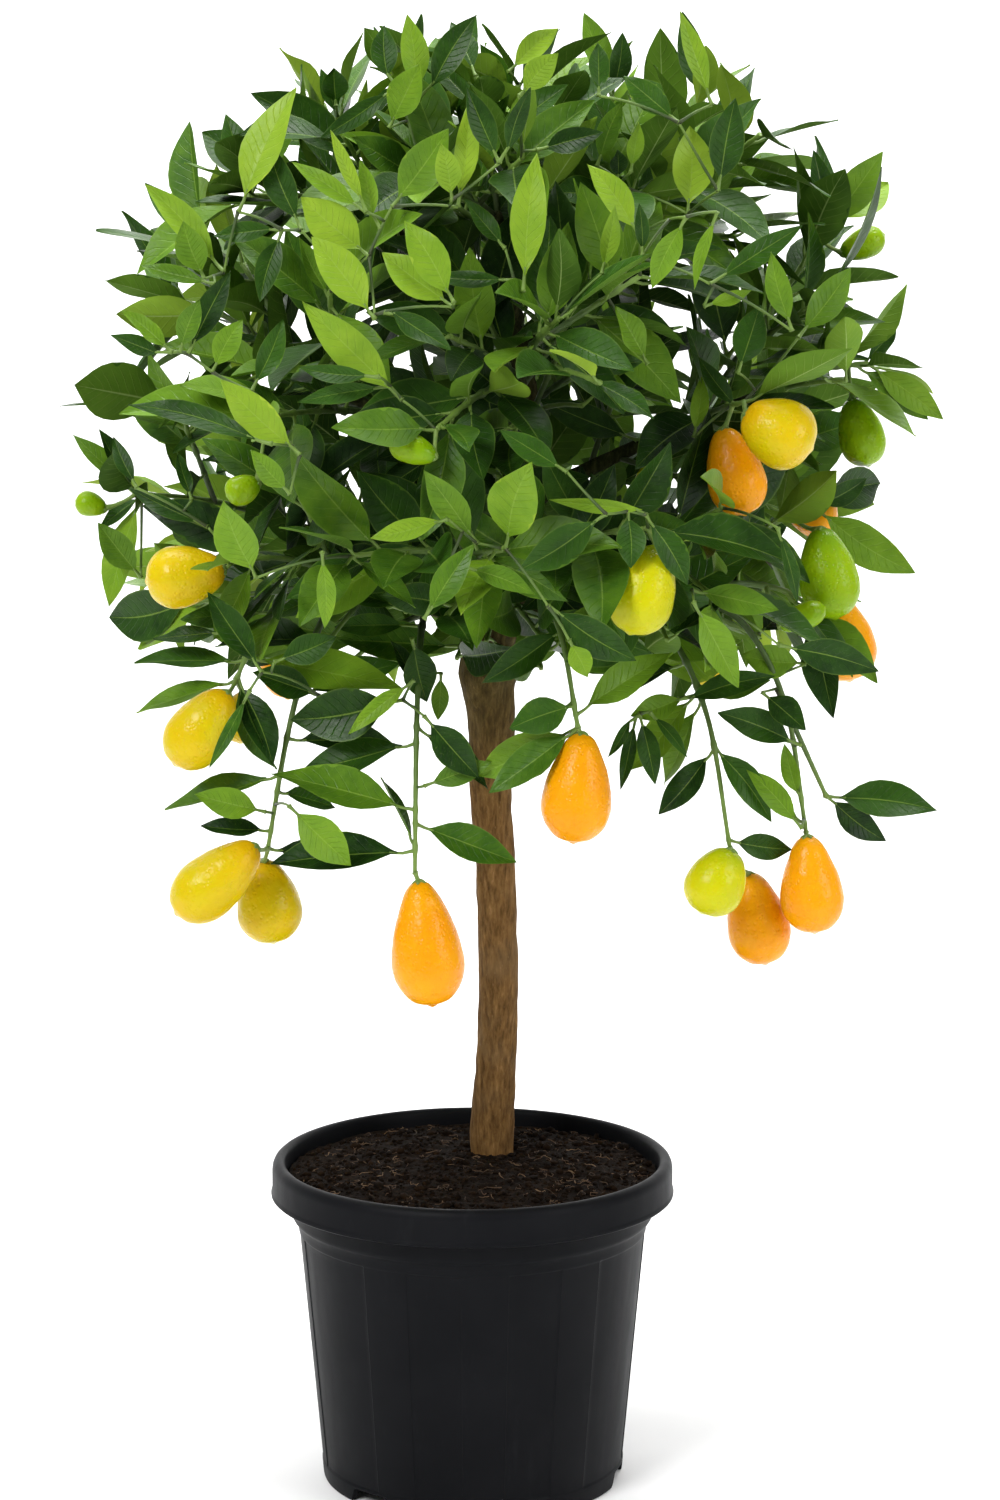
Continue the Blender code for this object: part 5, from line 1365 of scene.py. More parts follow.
def lumpy_rings(line, radii, draw):
    """Rings of peel round the fruit's axis, raised and sunk in soft lumps."""
    rings, outward = rings_round(line, radii, FRUIT_FINE_SIDES)
    seed = Vector((draw.uniform(0, 50), draw.uniform(0, 50), draw.uniform(0, 50)))
    for r in range(len(line)):
        for k in range(FRUIT_FINE_SIDES):
            place = Vector(rings[r, k]) / MM
            lump = sum(height * noise.noise(place * scale + seed) for scale, height in FRUIT_LUMPS)
            rings[r, k] += outward[r, k] * lump * MM * min(1.0, radii[r] / (LUMPY_RADIUS * MM))
    return rings


def add_stalk(piece, anchor, stem, axis, width):
    """The stalk that a fruit hangs on, from its twig to a little way inside the peel."""
    inner = stem + axis * STALK_OVERLAP * MM
    shares = np.linspace(0, 1, len(STALK_RADII))
    sag = np.array((0, 0, -STALK_SAG * np.linalg.norm(stem - anchor)))
    path = anchor + np.outer(shares, inner - anchor) + np.outer(np.sin(math.pi * shares), sag)
    thick = np.array(STALK_RADII) * MM * (0.75 + width / 130)
    rings, _ = rings_round(path, thick, STALK_FINE_SIDES)
    piece.add(*closed_tube(rings), 1, along=0.5, tone=0.5)


def add_calyx(piece, stem, axis, radii, line, fruit, draw):
    """A small green star that lies on the fruit's shoulder."""
    side = np.array(across_of(Vector(axis)))
    other = np.cross(axis, side)
    count = CALYX_LOBES * CALYX_LOBE_POINTS
    angles = math.tau * np.arange(count) / count
    turned = angles + draw.uniform(0, math.tau)
    outward = np.outer(np.cos(turned), side) + np.outer(np.sin(turned), other)
    size = 2.4 + fruit["width"] * 0.05
    rim = 0.76 + 0.24 * np.cos(CALYX_LOBES * angles)
    shoulder = len(radii) // 2
    rings = []
    for share, lift in CALYX_RINGS:
        spread = size * share * rim * MM
        down = np.interp(spread, radii[:shoulder], (line - stem)[:shoulder] @ axis)
        rings.append(stem + np.outer(down - lift * MM, axis) + spread[:, None] * outward)
    piece.add(*closed_tube(np.array(rings)), 1, along=0.3, tone=0.4)


# Bark. The knot is a place in the front view, and tones are given as height above the trunk's
# head, in metres, and tone from 0 brown to 1 dark green: greenish bark with painted shade from the crown.

KNOT = (527, 503)
KNOT_STANDS_OUT = 9.2
KNOT_LIP = (1.3, 5.2, 1.5)
KNOT_PIT = (1.0, 2.6)
BARK_STEP = 2.4
BARK_SHADE_TONES = ((-0.075, 0.0), (-0.035, 0.5), (0.02, 0.8), (0.12, 0.9))
HEAD_REACH = 16.0
TRUNK_FINE_SIDES = 44
LEADER_FINE_SIDES = 30
LIMB_FINE_SIDES = 14
LIMB_FLARE = 0.55
LIMB_FLARE_REACH = 14.0
LIMB_STEP = 6.0


def bark_relief(place, roughness):
    """How far the bark stands out at a place, in millimetres."""
    ridge = noise.noise(Vector((place.x * 0.30, place.y * 0.30, place.z * 0.050)))
    fine = noise.noise(Vector((place.x * 0.85, place.y * 0.85, place.z * 0.16)) + Vector((9, 4, 2)))
    lump = noise.noise(place * 0.075 + Vector((3, 7, 1)))
    return roughness * (0.55 * ridge + 0.30 * fine + 0.75 * lump)


def knot_relief(place, knot):
    """A round branch scar with a raised lip, in millimetres."""
    away = (place - knot).length
    lip_height, lip_radius, lip_width = KNOT_LIP
    pit_depth, pit_radius = KNOT_PIT
    lip = lip_height * math.exp(-(((away - lip_radius) / lip_width) ** 2))
    return lip - pit_depth * math.exp(-((away / pit_radius) ** 2))


def add_bark(piece, rows, sides, roughness, knot, head, tones):
    """A tube of bark along rows of place and radius."""
    line = smooth_rows(rows, BARK_STEP * MM)
    rings, outward = rings_round(line[:, :3], line[:, 3], sides)
    for r in range(len(line)):
        swollen = 1.0 + 2.2 * math.exp(-(((line[r, 2] - head) / (HEAD_REACH * MM)) ** 2))
        for k in range(sides):
            place = Vector(rings[r, k]) / MM
            relief = bark_relief(place, roughness * swollen) + knot_relief(place, knot)
            rings[r, k] += outward[r, k] * relief * MM
    points, faces = closed_tube(rings)
    heights, values = zip(*tones)
    piece.add(points, faces, 0, tone=np.interp(points[:, 2], heights, values))


def trunk_piece(wood, looks):
    """Trunk, leader and limbs in bark, the limbs flared where they leave the leader."""
    piece = Piece("trunk_fine", "tone")
    knot = (at(*KNOT, 0) + TO_FRONT * KNOT_STANDS_OUT * MM) / MM
    path, _ = wood["trunk"]
    head = path[-2].z
    tones = [(head + height, tone) for height, tone in BARK_SHADE_TONES]
    add_bark(piece, trunk_rows(*wood["trunk"]), TRUNK_FINE_SIDES, 1.0, knot, head, tones)
    for name, (path, radii) in wood.items():
        rows = [(*point, radius * MM) for point, radius in zip(path, radii)]
        if name == "leader":
            add_bark(piece, rows, LEADER_FINE_SIDES, 0.9, knot, head, tones)
        elif name != "trunk":
            rows = smooth_rows(rows, LIMB_STEP * MM)
            away = np.linalg.norm(rows[:, :3] - rows[0, :3], axis=1)
            rows[:, 3] *= 1 + LIMB_FLARE * np.exp(-away / (LIMB_FLARE_REACH * MM))
            # The limbs take the full dark tone: painted shade under the crown, with greenish bark.
            add_bark(piece, rows, LIMB_FINE_SIDES, 0.45, knot, -1.0, ((0.0, 1.0), (1.0, 1.0)))
    piece.made(looks, "trunk")


def trunk_rows(path, radii):
    """Places and radii from the buried stump up to a little way inside the leader's foot."""
    stump = path[0] - UP * (HOLE_DEPTH - 1) * MM
    collar = path[0] - UP * 20 * MM
    top = path[-1] + UP * 12 * MM
    rows = [(*stump, 10.6 * MM), (*collar, 11.6 * MM), (*path[0], 12.3 * MM)]
    rows += [(*point, radius * MM) for point, radius in zip(path[1:], radii[1:])]
    return [*rows, (*top, 7.0 * MM)]


# Soil. Its waves are given as scale and height, all in millimetres.

SOIL_COLUMNS = 200
SOIL_RINGS = 64
SOIL_REACH = 101.3
SOIL_WAVES = ((0.055, 1.35), (0.16, 0.81), (0.42, 0.63), (0.95, 0.405))
MOUND_HEIGHT = 175.4
MOUND_DROP = 4.2
MOUND_REACH = 102.0
TRUNK_CLEARANCE = 13.5
LOOSE_REACH = 98.5
CRUMBS = 2600
CRUMB_SMALLEST = 0.45
CRUMB_LARGEST = 2.9
FIBRES = 260
FIBRE_LENGTHS = (3, 15)
FIBRE_STEPS = 6


def soil_height(across, along_y, foot):
    """Height of the soil surface at a place, all in millimetres."""
    share = min(math.hypot(across, along_y) / MOUND_REACH, 1.0)
    mound = MOUND_HEIGHT - MOUND_DROP * share**2
    place = Vector((across, along_y, 0.0))
    rough = sum(height * noise.noise(place * scale) for scale, height in SOIL_WAVES)
    near = math.hypot(across - foot.x / MM, along_y - foot.y / MM)
    return mound + rough - 0.8 * math.exp(-(((near - 13) / 3.5) ** 2))


def soil_piece(foot, looks):
    """The plug of potting mix with a loose, crumbly surface."""
    draw = random.Random(f"{SEED} soil")
    piece = Piece("soil_fine", "tone")
    turns = math.tau * np.arange(SOIL_COLUMNS) / SOIL_COLUMNS
    rings = []
    for radius, height in SOIL_SIDE:
        level = np.full(SOIL_COLUMNS, height)
        rings.append(np.stack([radius * np.cos(turns), radius * np.sin(turns), level], 1))
    for share in np.linspace(0.0, 1.0, SOIL_RINGS)[:0:-1]:
        radius = SOIL_REACH * share
        places = [(radius * math.cos(turn), radius * math.sin(turn)) for turn in turns]
        rings.append(np.array([(x, y, soil_height(x, y, foot)) for x, y in places]))
    piece.add(*closed_tube(np.array(rings) * MM), 0, tone=0.4)
    add_crumbs(piece, foot, draw)
    add_fibres(piece, foot, draw)
    piece.made(looks, "soil")


def on_soil(draw, foot):
    """A place on the open soil, in millimetres."""
    while True:
        radius = LOOSE_REACH * math.sqrt(draw.random())
        turn = draw.uniform(0, math.tau)
        x, y = radius * math.cos(turn), radius * math.sin(turn)
        if math.hypot(x - foot.x / MM, y - foot.y / MM) > TRUNK_CLEARANCE:
            return x, y


def add_crumbs(piece, foot, draw):
    """Small clods and bits, each an uneven low-sided lump."""
    ball = bmesh.new()
    bmesh.ops.create_icosphere(ball, subdivisions=1, radius=1.0)
    shape = np.array([vert.co for vert in ball.verts])
    faces = np.array([[vert.index for vert in face.verts] for face in ball.faces])
    ball.free()
    for _ in range(CRUMBS):
        x, y = on_soil(draw, foot)
        size = min(CRUMB_SMALLEST + draw.expovariate(1.6), CRUMB_LARGEST)
        stretch = np.array([draw.uniform(0.6, 1.5), draw.uniform(0.6, 1.3), draw.uniform(0.45, 0.9)])
        uneven = 1 + np.array([draw.uniform(-0.22, 0.22) for _ in shape])
        spin = Matrix.Rotation(draw.uniform(0, math.tau), 3, "Z")
        tilt = Matrix.Rotation(draw.uniform(-0.6, 0.6), 3, "X")
        points = (shape * uneven[:, None] * stretch * size) @ np.array(spin @ tilt).T
        points += (x, y, soil_height(x, y, foot) + size * 0.25)
        piece.add(points * MM, [faces], 0, tone=draw.random())


def add_fibres(piece, foot, draw):
    """Thin root and bark fibres that lie on the soil."""
    for _ in range(FIBRES):
        x, y = on_soil(draw, foot)
        reach = draw.uniform(*FIBRE_LENGTHS)
        turn = draw.uniform(0, math.tau)
        curl = draw.uniform(-0.09, 0.09)
        line = []
        for _ in range(FIBRE_STEPS):
            x += math.cos(turn) * reach / FIBRE_STEPS
            y += math.sin(turn) * reach / FIBRE_STEPS
            turn += curl * reach
            if math.hypot(x, y) > LOOSE_REACH + 0.5:
                break
            line.append((x * MM, y * MM, (soil_height(x, y, foot) + draw.uniform(0.5, 1.6)) * MM))
        if len(line) > 2:
            radii = np.linspace(draw.uniform(0.16, 0.4), 0.1, len(line)) * MM
            rings, _ = rings_round(np.array(line), radii, 4)
            piece.add(*closed_tube(rings), 1, tone=draw.random())


# Pot. Rings are given as radius and height in millimetres, notch corners as height and share of
# the notch's half-width.

POT_UNDER = ((0.4, 0.0), (29.6, 0.0), (30.0, 0.4), (30.0, 5.8))
POT_FOOT = (
    (79.6, 5.8), (79.8, 0.3), (80.2, 0.0), (82.0, 0.0), (82.8, 0.3), (83.1, 1.0), (83.3, 2.4), (83.6, 6.0),
)
POT_HEAD = (
    (96.0, 142.5), (96.5, 145.4), (97.4, 146.9), (98.7, 147.8), (99.3, 148.8), (99.5, 150.2), (99.5, 158.6),
    (99.9, 159.4), (100.8, 159.8), (108.9, 159.9), (110.2, 160.1), (110.9, 160.7), (111.0, 161.6),
    (110.6, 162.5), (110.3, 163.5), (110.3, 174.2), (110.0, 176.4), (109.2, 178.3), (107.9, 179.5),
    (106.3, 180.0), (104.9, 179.8), (103.8, 179.0), (103.1, 177.6), (102.8, 174.0),
)
POT_INSIDE = ((102.0, 163.0), (95.4, 158.0), (81.5, 8.0), (0.5, 8.0))
EDGE_HALF = 0.75
EDGE_HALF_TURN = 0.45
EDGE_ROWS = (-1.0, -0.4, 0.0, 0.4, 1.0)
EDGE_COLUMNS = (-0.45, -0.22, 0.0, 0.22, 0.45)
BODY_ROW_GAP = 6
COLUMN_STEP = 1.5
COLUMN_CLOSEST = 0.15
NOTCH_CORNERS = ((-1.0, 1.04), (5.6, 0.84), (7.4, 0.79), (8.2, 0.72), (NOTCH_HEIGHT, 0.62))
SHARP_ANGLE = math.radians(38)


def soft_step(value, half):
    """From 0 to 1 in a smooth curve as the value goes from -half to half."""
    share = share_between(value, -half, half)
    return share * share * (3 - 2 * share)


def panel_depth(angle, height):
    """How deep a shallow panel lies at this angle and height, with softened edges."""
    turn = (angle - PATTERN_MIDDLE) % 120.0
    inside = max(0.0, *(min(turn - first, last - turn) for first, last in PANEL_EDGES))
    level = min(height - PANEL_BOTTOM, PANEL_TOP - height)
    return PANEL_DEPTH * soft_step(inside, EDGE_HALF_TURN) * soft_step(level, EDGE_HALF)


def pot_angles():
    """Even columns round the pot, closer together at the panels' edges."""
    angles = set(round(COLUMN_STEP * k, 2) for k in range(round(360 / COLUMN_STEP)))
    for third in range(3):
        for edges in PANEL_EDGES:
            for edge in edges:
                for offset in EDGE_COLUMNS:
                    angles.add(round((PATTERN_MIDDLE + 120 * third + edge + offset) % 360.0, 2))
    kept = []
    for angle in sorted(angles):
        if not kept or angle - kept[-1] > COLUMN_CLOSEST:
            kept.append(angle)
    return kept


def pot_rings():
    """Rings of points from the middle of the underside, up the outside and down the inside."""
    heights = [PANEL_BOTTOM + row for row in EDGE_ROWS]
    heights += [float(h) for h in range(16, 139, BODY_ROW_GAP)]
    heights += [PANEL_TOP + row for row in EDGE_ROWS]
    rows = [(radius, height, False) for radius, height in POT_UNDER + POT_FOOT]
    rows += [(POT_BODY_FOOT_RADIUS + POT_BODY_SLOPE * height, height, True) for height in heights]
    rows += [(radius, height, False) for radius, height in POT_HEAD + POT_INSIDE]
    angles = pot_angles()
    rings = []
    for radius, height, panelled in rows:
        depths = [panel_depth(angle, height) if panelled else 0.0 for angle in angles]
        rings.append([front_turn(radius - depth, angle, height) for depth, angle in zip(depths, angles)])
    return np.array(rings)


def notch_mesh():
    """Cutters for the foot notches, with slanted sides and rounded corners."""
    corners = [(height, -share) for height, share in NOTCH_CORNERS]
    corners += [(height, share) for height, share in NOTCH_CORNERS[::-1]]
    count = len(corners)
    shape = bmesh.new()
    for k in range(NOTCH_COUNT):
        angle = NOTCH_MIDDLE + 360.0 / NOTCH_COUNT * k
        rings = []
        for radius in (NOTCH_INNER_RADIUS, NOTCH_OUTER_RADIUS):
            turns = [(angle + NOTCH_WIDTH / 2 * share, height) for height, share in corners]
            rings.append([shape.verts.new(front_turn(radius, turn, height)) for turn, height in turns])
        for i in range(count):
            j = (i + 1) % count
            shape.faces.new((rings[0][i], rings[0][j], rings[1][j], rings[1][i]))
        shape.faces.new(rings[0])
        shape.faces.new(rings[1][::-1])
    bmesh.ops.recalc_face_normals(shape, faces=shape.faces)
    mesh = bpy.data.meshes.new("notches")
    shape.to_mesh(mesh)
    shape.free()
    return mesh


def face_outwards(mesh):
    """Turns a mesh's faces so that all look out."""
    shape = bmesh.new()
    shape.from_mesh(mesh)
    bmesh.ops.recalc_face_normals(shape, faces=shape.faces)
    shape.to_mesh(mesh)
    shape.free()


def pot_piece(looks):
    """The pot with rounded rolled rim, lip line, soft-edged panels and cut foot notches."""
    points, faces = closed_tube(pot_rings())
    whole = bpy.data.meshes.new("pot_fine")
    whole.from_pydata(points, [], [face for rows in faces for face in rows.tolist()])
    face_outwards(whole)
    made = placed("pot_fine", whole)
    cutter = placed("notches", notch_mesh())
    modifier = made.modifiers.new("notches", "BOOLEAN")
    modifier.operation = "DIFFERENCE"
    modifier.object = cutter
    modifier.solver = "EXACT"
    graph = bpy.context.evaluated_depsgraph_get()
    mesh = bpy.data.meshes.new_from_object(made.evaluated_get(graph))
    made.modifiers.clear()
    made.data = mesh
    bpy.data.objects.remove(cutter)
    mesh.materials.clear()
    for look in looks:
        mesh.materials.append(look)
    mesh.polygons.foreach_set("material_index", [0] * len(mesh.polygons))
    mesh.shade_smooth()
    mesh.set_sharp_from_angle(angle=SHARP_ANGLE)
    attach(made, "root")
    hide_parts("pot")


def front_turn(radius, angle, height):
    """A point at this radius, turned from the front towards the right, in millimetres."""
    turn = math.radians(angle)
    return Vector((radius * math.sin(turn), -radius * math.cos(turn), height)) * MM


# Materials

# Where the colour mix node keeps its share and its two colours, and the mixed colour

COLOUR_MIX_INPUTS = (0, 6, 7)
COLOUR_MIX_OUTPUT = 2


class Look:
    """A material being built from nodes; values may be numbers, colours or other nodes' outputs."""

    def __init__(self, name):
        self.material = bpy.data.materials.new(name)
        self.material.use_nodes = True
        self.tree = self.material.node_tree
        self.shader = self.tree.nodes["Principled BSDF"]
        self.place = self.node("ShaderNodeTexCoord").outputs["Object"]

    def node(self, kind, **settings):
        """A new node with these settings."""
        made = self.tree.nodes.new(kind)
        for name, value in settings.items():
            setattr(made, name, value)
        return made

    def feed(self, socket, value):
        """Links another node's output to a socket, or gives it a number or a colour."""
        if isinstance(value, bpy.types.NodeSocket):
            self.tree.links.new(value, socket)
        elif isinstance(value, tuple) and len(value) == 3 and socket.type == "RGBA":
            socket.default_value = (*value, 1.0)
        else:
            socket.default_value = value

    def set(self, **inputs):
        """Feeds the surface's own sockets, named with _ for a blank."""
        for name, value in inputs.items():
            self.feed(self.shader.inputs[name.replace("_", " ")], value)

    def value(self, name):
        """The named value that the mesh carries at its points."""
        return self.node("ShaderNodeAttribute", attribute_name=name).outputs["Fac"]

    def stretched(self, x, y, z):
        """Places on the object, scaled so that patterns stretch along one of its axes."""
        mapping = self.node("ShaderNodeMapping")
        self.feed(mapping.inputs["Vector"], self.place)
        mapping.inputs["Scale"].default_value = (x, y, z)
        return mapping.outputs["Vector"]

    def noise(self, scale, detail=3.0, roughness=0.5, place=None):
        """A cloudy pattern about 0.5."""
        made = self.node("ShaderNodeTexNoise")
        self.feed(made.inputs["Vector"], place or self.place)
        made.inputs["Scale"].default_value = scale
        made.inputs["Detail"].default_value = detail
        made.inputs["Roughness"].default_value = roughness
        return made.outputs["Fac"]

    def cells(self, scale, place=None):
        """Distance from the middle of the nearest of many small cells."""
        made = self.node("ShaderNodeTexVoronoi", feature="F1")
        self.feed(made.inputs["Vector"], place or self.place)
        made.inputs["Scale"].default_value = scale
        return made.outputs["Distance"]

    def math(self, operation, a, b=0.0, c=None, clamp=False):
        made = self.node("ShaderNodeMath", operation=operation, use_clamp=clamp)
        self.feed(made.inputs[0], a)
        self.feed(made.inputs[1], b)
        if c is not None:
            self.feed(made.inputs[2], c)
        return made.outputs[0]

    def between(self, value, low, high, low_out=0.0, high_out=1.0):
        """The value's place between low and high, held to the ends."""
        made = self.node("ShaderNodeMapRange")
        for k, number in enumerate((value, low, high, low_out, high_out)):
            self.feed(made.inputs[k], number)
        return made.outputs["Result"]

    def mix(self, share, a, b, blend="MIX"):
        """Two colours mixed by a share."""
        made = self.node("ShaderNodeMix", data_type="RGBA", blend_type=blend)
        for place, value in zip(COLOUR_MIX_INPUTS, (share, a, b)):
            self.feed(made.inputs[place], value)
        return made.outputs[COLOUR_MIX_OUTPUT]

    def ramp(self, value, *stops):
        """A colour from a row of place and colour; its first two are the ends of the row."""
        made = self.node("ShaderNodeValToRGB")
        self.feed(made.inputs["Fac"], value)
        for k, (place, colour) in enumerate(stops):
            stop = made.color_ramp.elements[k] if k < 2 else made.color_ramp.elements.new(place)
            stop.position = place
            stop.color = (*colour, 1.0)
        return made.outputs["Color"]

    def bump(self, height, depth, strength=1.0, under=None):
        """A surface raised by a pattern, depth in millimetres, over another bump if one is given."""
        made = self.node("ShaderNodeBump")
        made.inputs["Strength"].default_value = strength
        made.inputs["Distance"].default_value = depth * MM
        self.feed(made.inputs["Height"], height)
        if under is not None:
            self.feed(made.inputs["Normal"], under)
        return made.outputs["Normal"]


def veins(look):
    """Shares of midrib and side vein at a place on the blade."""
    across = look.math("ABSOLUTE", look.value("across"))
    along_blade = look.value("along")
    midrib_width = look.math("MULTIPLY_ADD", along_blade, -0.030, 0.058)
    midrib = look.math("SUBTRACT", 1.0, look.math("DIVIDE", across, midrib_width), clamp=True)
    phase = look.math("MULTIPLY_ADD", along_blade, 11.0, look.math("MULTIPLY", across, -1.9))
    wander = look.math("MULTIPLY", look.noise(160.0, 2.0), 0.5)
    saw = look.math("FRACT", look.math("ADD", phase, wander))
    line = look.math("ABSOLUTE", look.math("SUBTRACT", saw, 0.5))
    side = look.between(line, 0.0, 0.09, 1.0, 0.0)
    fade = look.between(across, 0.55, 0.95, 1.0, 0.0)
    return midrib, look.math("MULTIPLY", side, fade)


def leaf_upper_look():
    """The leathery upper side of a leaf: green by its tone, which holds painted shade and light, with paler
    veins and edge.
    """
    look = Look("leaf_upper")
    tone = look.value("tone")
    cloud = look.noise(85.0, 4.0, 0.62)
    tone = look.math("ADD", tone, look.math("MULTIPLY_ADD", cloud, 0.36, -0.18), clamp=True)
    # Painted shade and light: the dark end is the painted shade inside and under the crown, the light end
    # partly painted light on high leaves.
    base = look.ramp(
        tone,
        (0.0, (0.006, 0.024, 0.003)), (1.0, (0.300, 0.445, 0.030)), (0.28, (0.034, 0.100, 0.007)),
        (0.60, (0.138, 0.268, 0.014)),
    )
    midrib, side = veins(look)
    lighter = look.mix(1.0, base, (1.45, 1.35, 1.9), "MULTIPLY")
    base = look.mix(look.math("MULTIPLY", side, 0.42), base, lighter)
    base = look.mix(look.math("MULTIPLY", midrib, 0.5), base, (0.28, 0.42, 0.07))
    edge = look.between(look.math("ABSOLUTE", look.value("across")), 0.93, 1.0, 0.0, 0.35)
    base = look.mix(edge, base, (0.20, 0.32, 0.05))
    fleck = look.between(look.noise(900.0, 2.0), 0.62, 0.75, 0.0, 0.10)
    base = look.mix(fleck, base, (0.25, 0.33, 0.08))
    relief = look.math("MULTIPLY_ADD", side, -0.5, look.math("MULTIPLY", look.noise(420.0, 3.0), 0.6))
    look.set(
        Base_Color=base,
        Roughness=look.between(look.noise(60.0, 2.0), 0.3, 0.7, 0.30, 0.48),
        Normal=look.bump(relief, 0.4),
    )
    look.shader.inputs["Specular IOR Level"].default_value = 0.15
    return look.material


def leaf_lower_look():
    """The paler, duller underside of a leaf with raised veins."""
    look = Look("leaf_lower")
    cloud = look.math("MULTIPLY_ADD", look.noise(85.0, 3.0), 0.2, -0.1)
    tone = look.math("ADD", look.value("tone"), cloud, clamp=True)
    # Painted shade and light: the tone darkens the underside in the crown's painted shade and lightens it
    # higher up.
    base = look.ramp(
        tone, (0.0, (0.022, 0.060, 0.008)), (1.0, (0.42, 0.56, 0.050)), (0.4, (0.125, 0.245, 0.022)),
    )
    midrib, side = veins(look)
    base = look.mix(look.math("MULTIPLY", side, 0.18), base, (0.28, 0.40, 0.09))
    base = look.mix(look.math("MULTIPLY", midrib, 0.70), base, (0.38, 0.50, 0.17))
    relief = look.math("MULTIPLY_ADD", side, 0.6, look.math("MULTIPLY", look.noise(600.0, 2.0), 0.5))
    look.set(Base_Color=base, Roughness=0.66, Normal=look.bump(relief, 0.25))
    look.shader.inputs["Specular IOR Level"].default_value = 0.08
    return look.material


def twig_look():
    """Twigs and leaf stalks, dark at the root and fresh green at the end."""
    look = Look("twig")
    grain = look.noise(300.0, 4.0, place=look.stretched(1.0, 1.0, 0.3))
    age = look.math("ADD", look.value("along"), look.math("MULTIPLY_ADD", grain, 0.4, -0.2), clamp=True)
    base = look.ramp(
        age, (0.0, (0.034, 0.046, 0.012)), (1.0, (0.15, 0.25, 0.035)), (0.3, (0.045, 0.090, 0.014)),
    )
    look.set(Base_Color=base, Roughness=0.55, Normal=look.bump(grain, 0.25))
    return look.material


def fruit_look(kind):
    """Waxy peel with small dimples, cloudy in colour and different at the stem end."""
    look = Look(f"peel_{kind}")
    full, side, neck = FRUIT_KINDS[kind]
    cloud = look.noise(42.0, 3.0)
    base = look.mix(look.between(cloud, 0.35, 0.7), full, side)
    base = look.mix(look.between(look.value("along"), 0.0, 0.26, 0.75, 0.0), base, neck)
    pits = look.between(look.cells(430.0), 0.05, 0.42)
    rough = look.between(look.noise(120.0, 2.0), 0.3, 0.7, 0.24, 0.36)
    wavy = look.bump(look.noise(150.0, 2.0), 0.9)
    look.set(Base_Color=base, Roughness=rough, Normal=look.bump(pits, 0.20, 1.0, wavy))
    look.shader.inputs["Specular IOR Level"].default_value = 0.20
    look.shader.inputs["Subsurface Weight"].default_value = 0.10
    look.shader.inputs["Subsurface Scale"].default_value = 3 * MM
    return look.material


def stalk_look():
    """Fruit stalks and calyxes in plain green."""
    look = Look("stalk")
    grain = look.noise(500.0, 3.0)
    base = look.mix(look.between(grain, 0.35, 0.7), (0.13, 0.23, 0.035), (0.20, 0.28, 0.06))
    look.set(Base_Color=base, Roughness=0.6, Normal=look.bump(grain, 0.2))
    return look.material


def bark_look():
    """Bark in long ridges, brown on the trunk, and dark green-brown on the limbs and the trunk's head:
    greenish bark with painted shade from the crown.
    """
    look = Look("bark")
    long_way = look.stretched(1.0, 1.0, 0.22)
    ridges = look.noise(420.0, 6.0, 0.66, long_way)
    patches = look.noise(38.0, 3.0)
    base = look.ramp(
        ridges, (0.28, (0.058, 0.029, 0.009)), (0.74, (0.36, 0.205, 0.078)), (0.46, (0.160, 0.083, 0.026)),
        (0.60, (0.240, 0.130, 0.043)),
    )
    base = look.mix(look.between(patches, 0.5, 0.72, 0.0, 0.45), base, (0.22, 0.14, 0.065))
    pale = look.between(look.cells(330.0, look.stretched(1.0, 1.0, 0.45)), 0.0, 0.14, 0.55, 0.0)
    base = look.mix(pale, base, (0.34, 0.21, 0.10))
    # Painted shade: the near-black green that the tone mixes in darkens the limbs and the trunk's head as
    # the crown's shade would, with a little greenish bark.
    green = look.ramp(
        ridges, (0.28, (0.010, 0.013, 0.004)), (0.74, (0.085, 0.085, 0.030)), (0.50, (0.032, 0.038, 0.011)),
    )
    base = look.mix(look.value("tone"), base, green)
    deep = look.bump(ridges, 1.5)
    fine = look.noise(1500.0, 3.0, 0.6, look.stretched(1.0, 1.0, 0.5))
    look.set(Base_Color=base, Roughness=0.86, Normal=look.bump(fine, 0.35, 1.0, deep))
    look.shader.inputs["Specular IOR Level"].default_value = 0.12
    return look.material


def soil_look():
    """Dark potting mix with damp patches."""
    look = Look("soil_mix")
    grain = look.noise(420.0, 5.0, 0.65)
    damp = look.noise(45.0, 2.0)
    base = look.ramp(
        grain,
        (0.32, (0.0025, 0.0014, 0.0006)), (0.75, (0.040, 0.021, 0.009)), (0.55, (0.0095, 0.0050, 0.0022)),
    )
    base = look.mix(look.between(look.value("tone"), 0.45, 1.0, 0.0, 0.5), base, (0.026, 0.013, 0.005))
    base = look.mix(look.between(damp, 0.42, 0.62, 0.0, 0.45), base, (0.004, 0.0026, 0.0017))
    look.set(Base_Color=base, Roughness=0.95, Normal=look.bump(look.noise(900.0, 4.0, 0.7), 0.9))
    look.shader.inputs["Specular IOR Level"].default_value = 0.08
    return look.material


def fibre_look():
    """Dry fibres from dark brown to straw."""
    look = Look("soil_fibre")
    base = look.ramp(
        look.value("tone"),
        (0.0, (0.035, 0.018, 0.009)), (1.0, (0.33, 0.20, 0.10)), (0.6, (0.12, 0.062, 0.03)),
    )
    look.set(Base_Color=look.mix(look.noise(800.0, 2.0), base, (0.05, 0.03, 0.015)), Roughness=0.9)
    return look.material


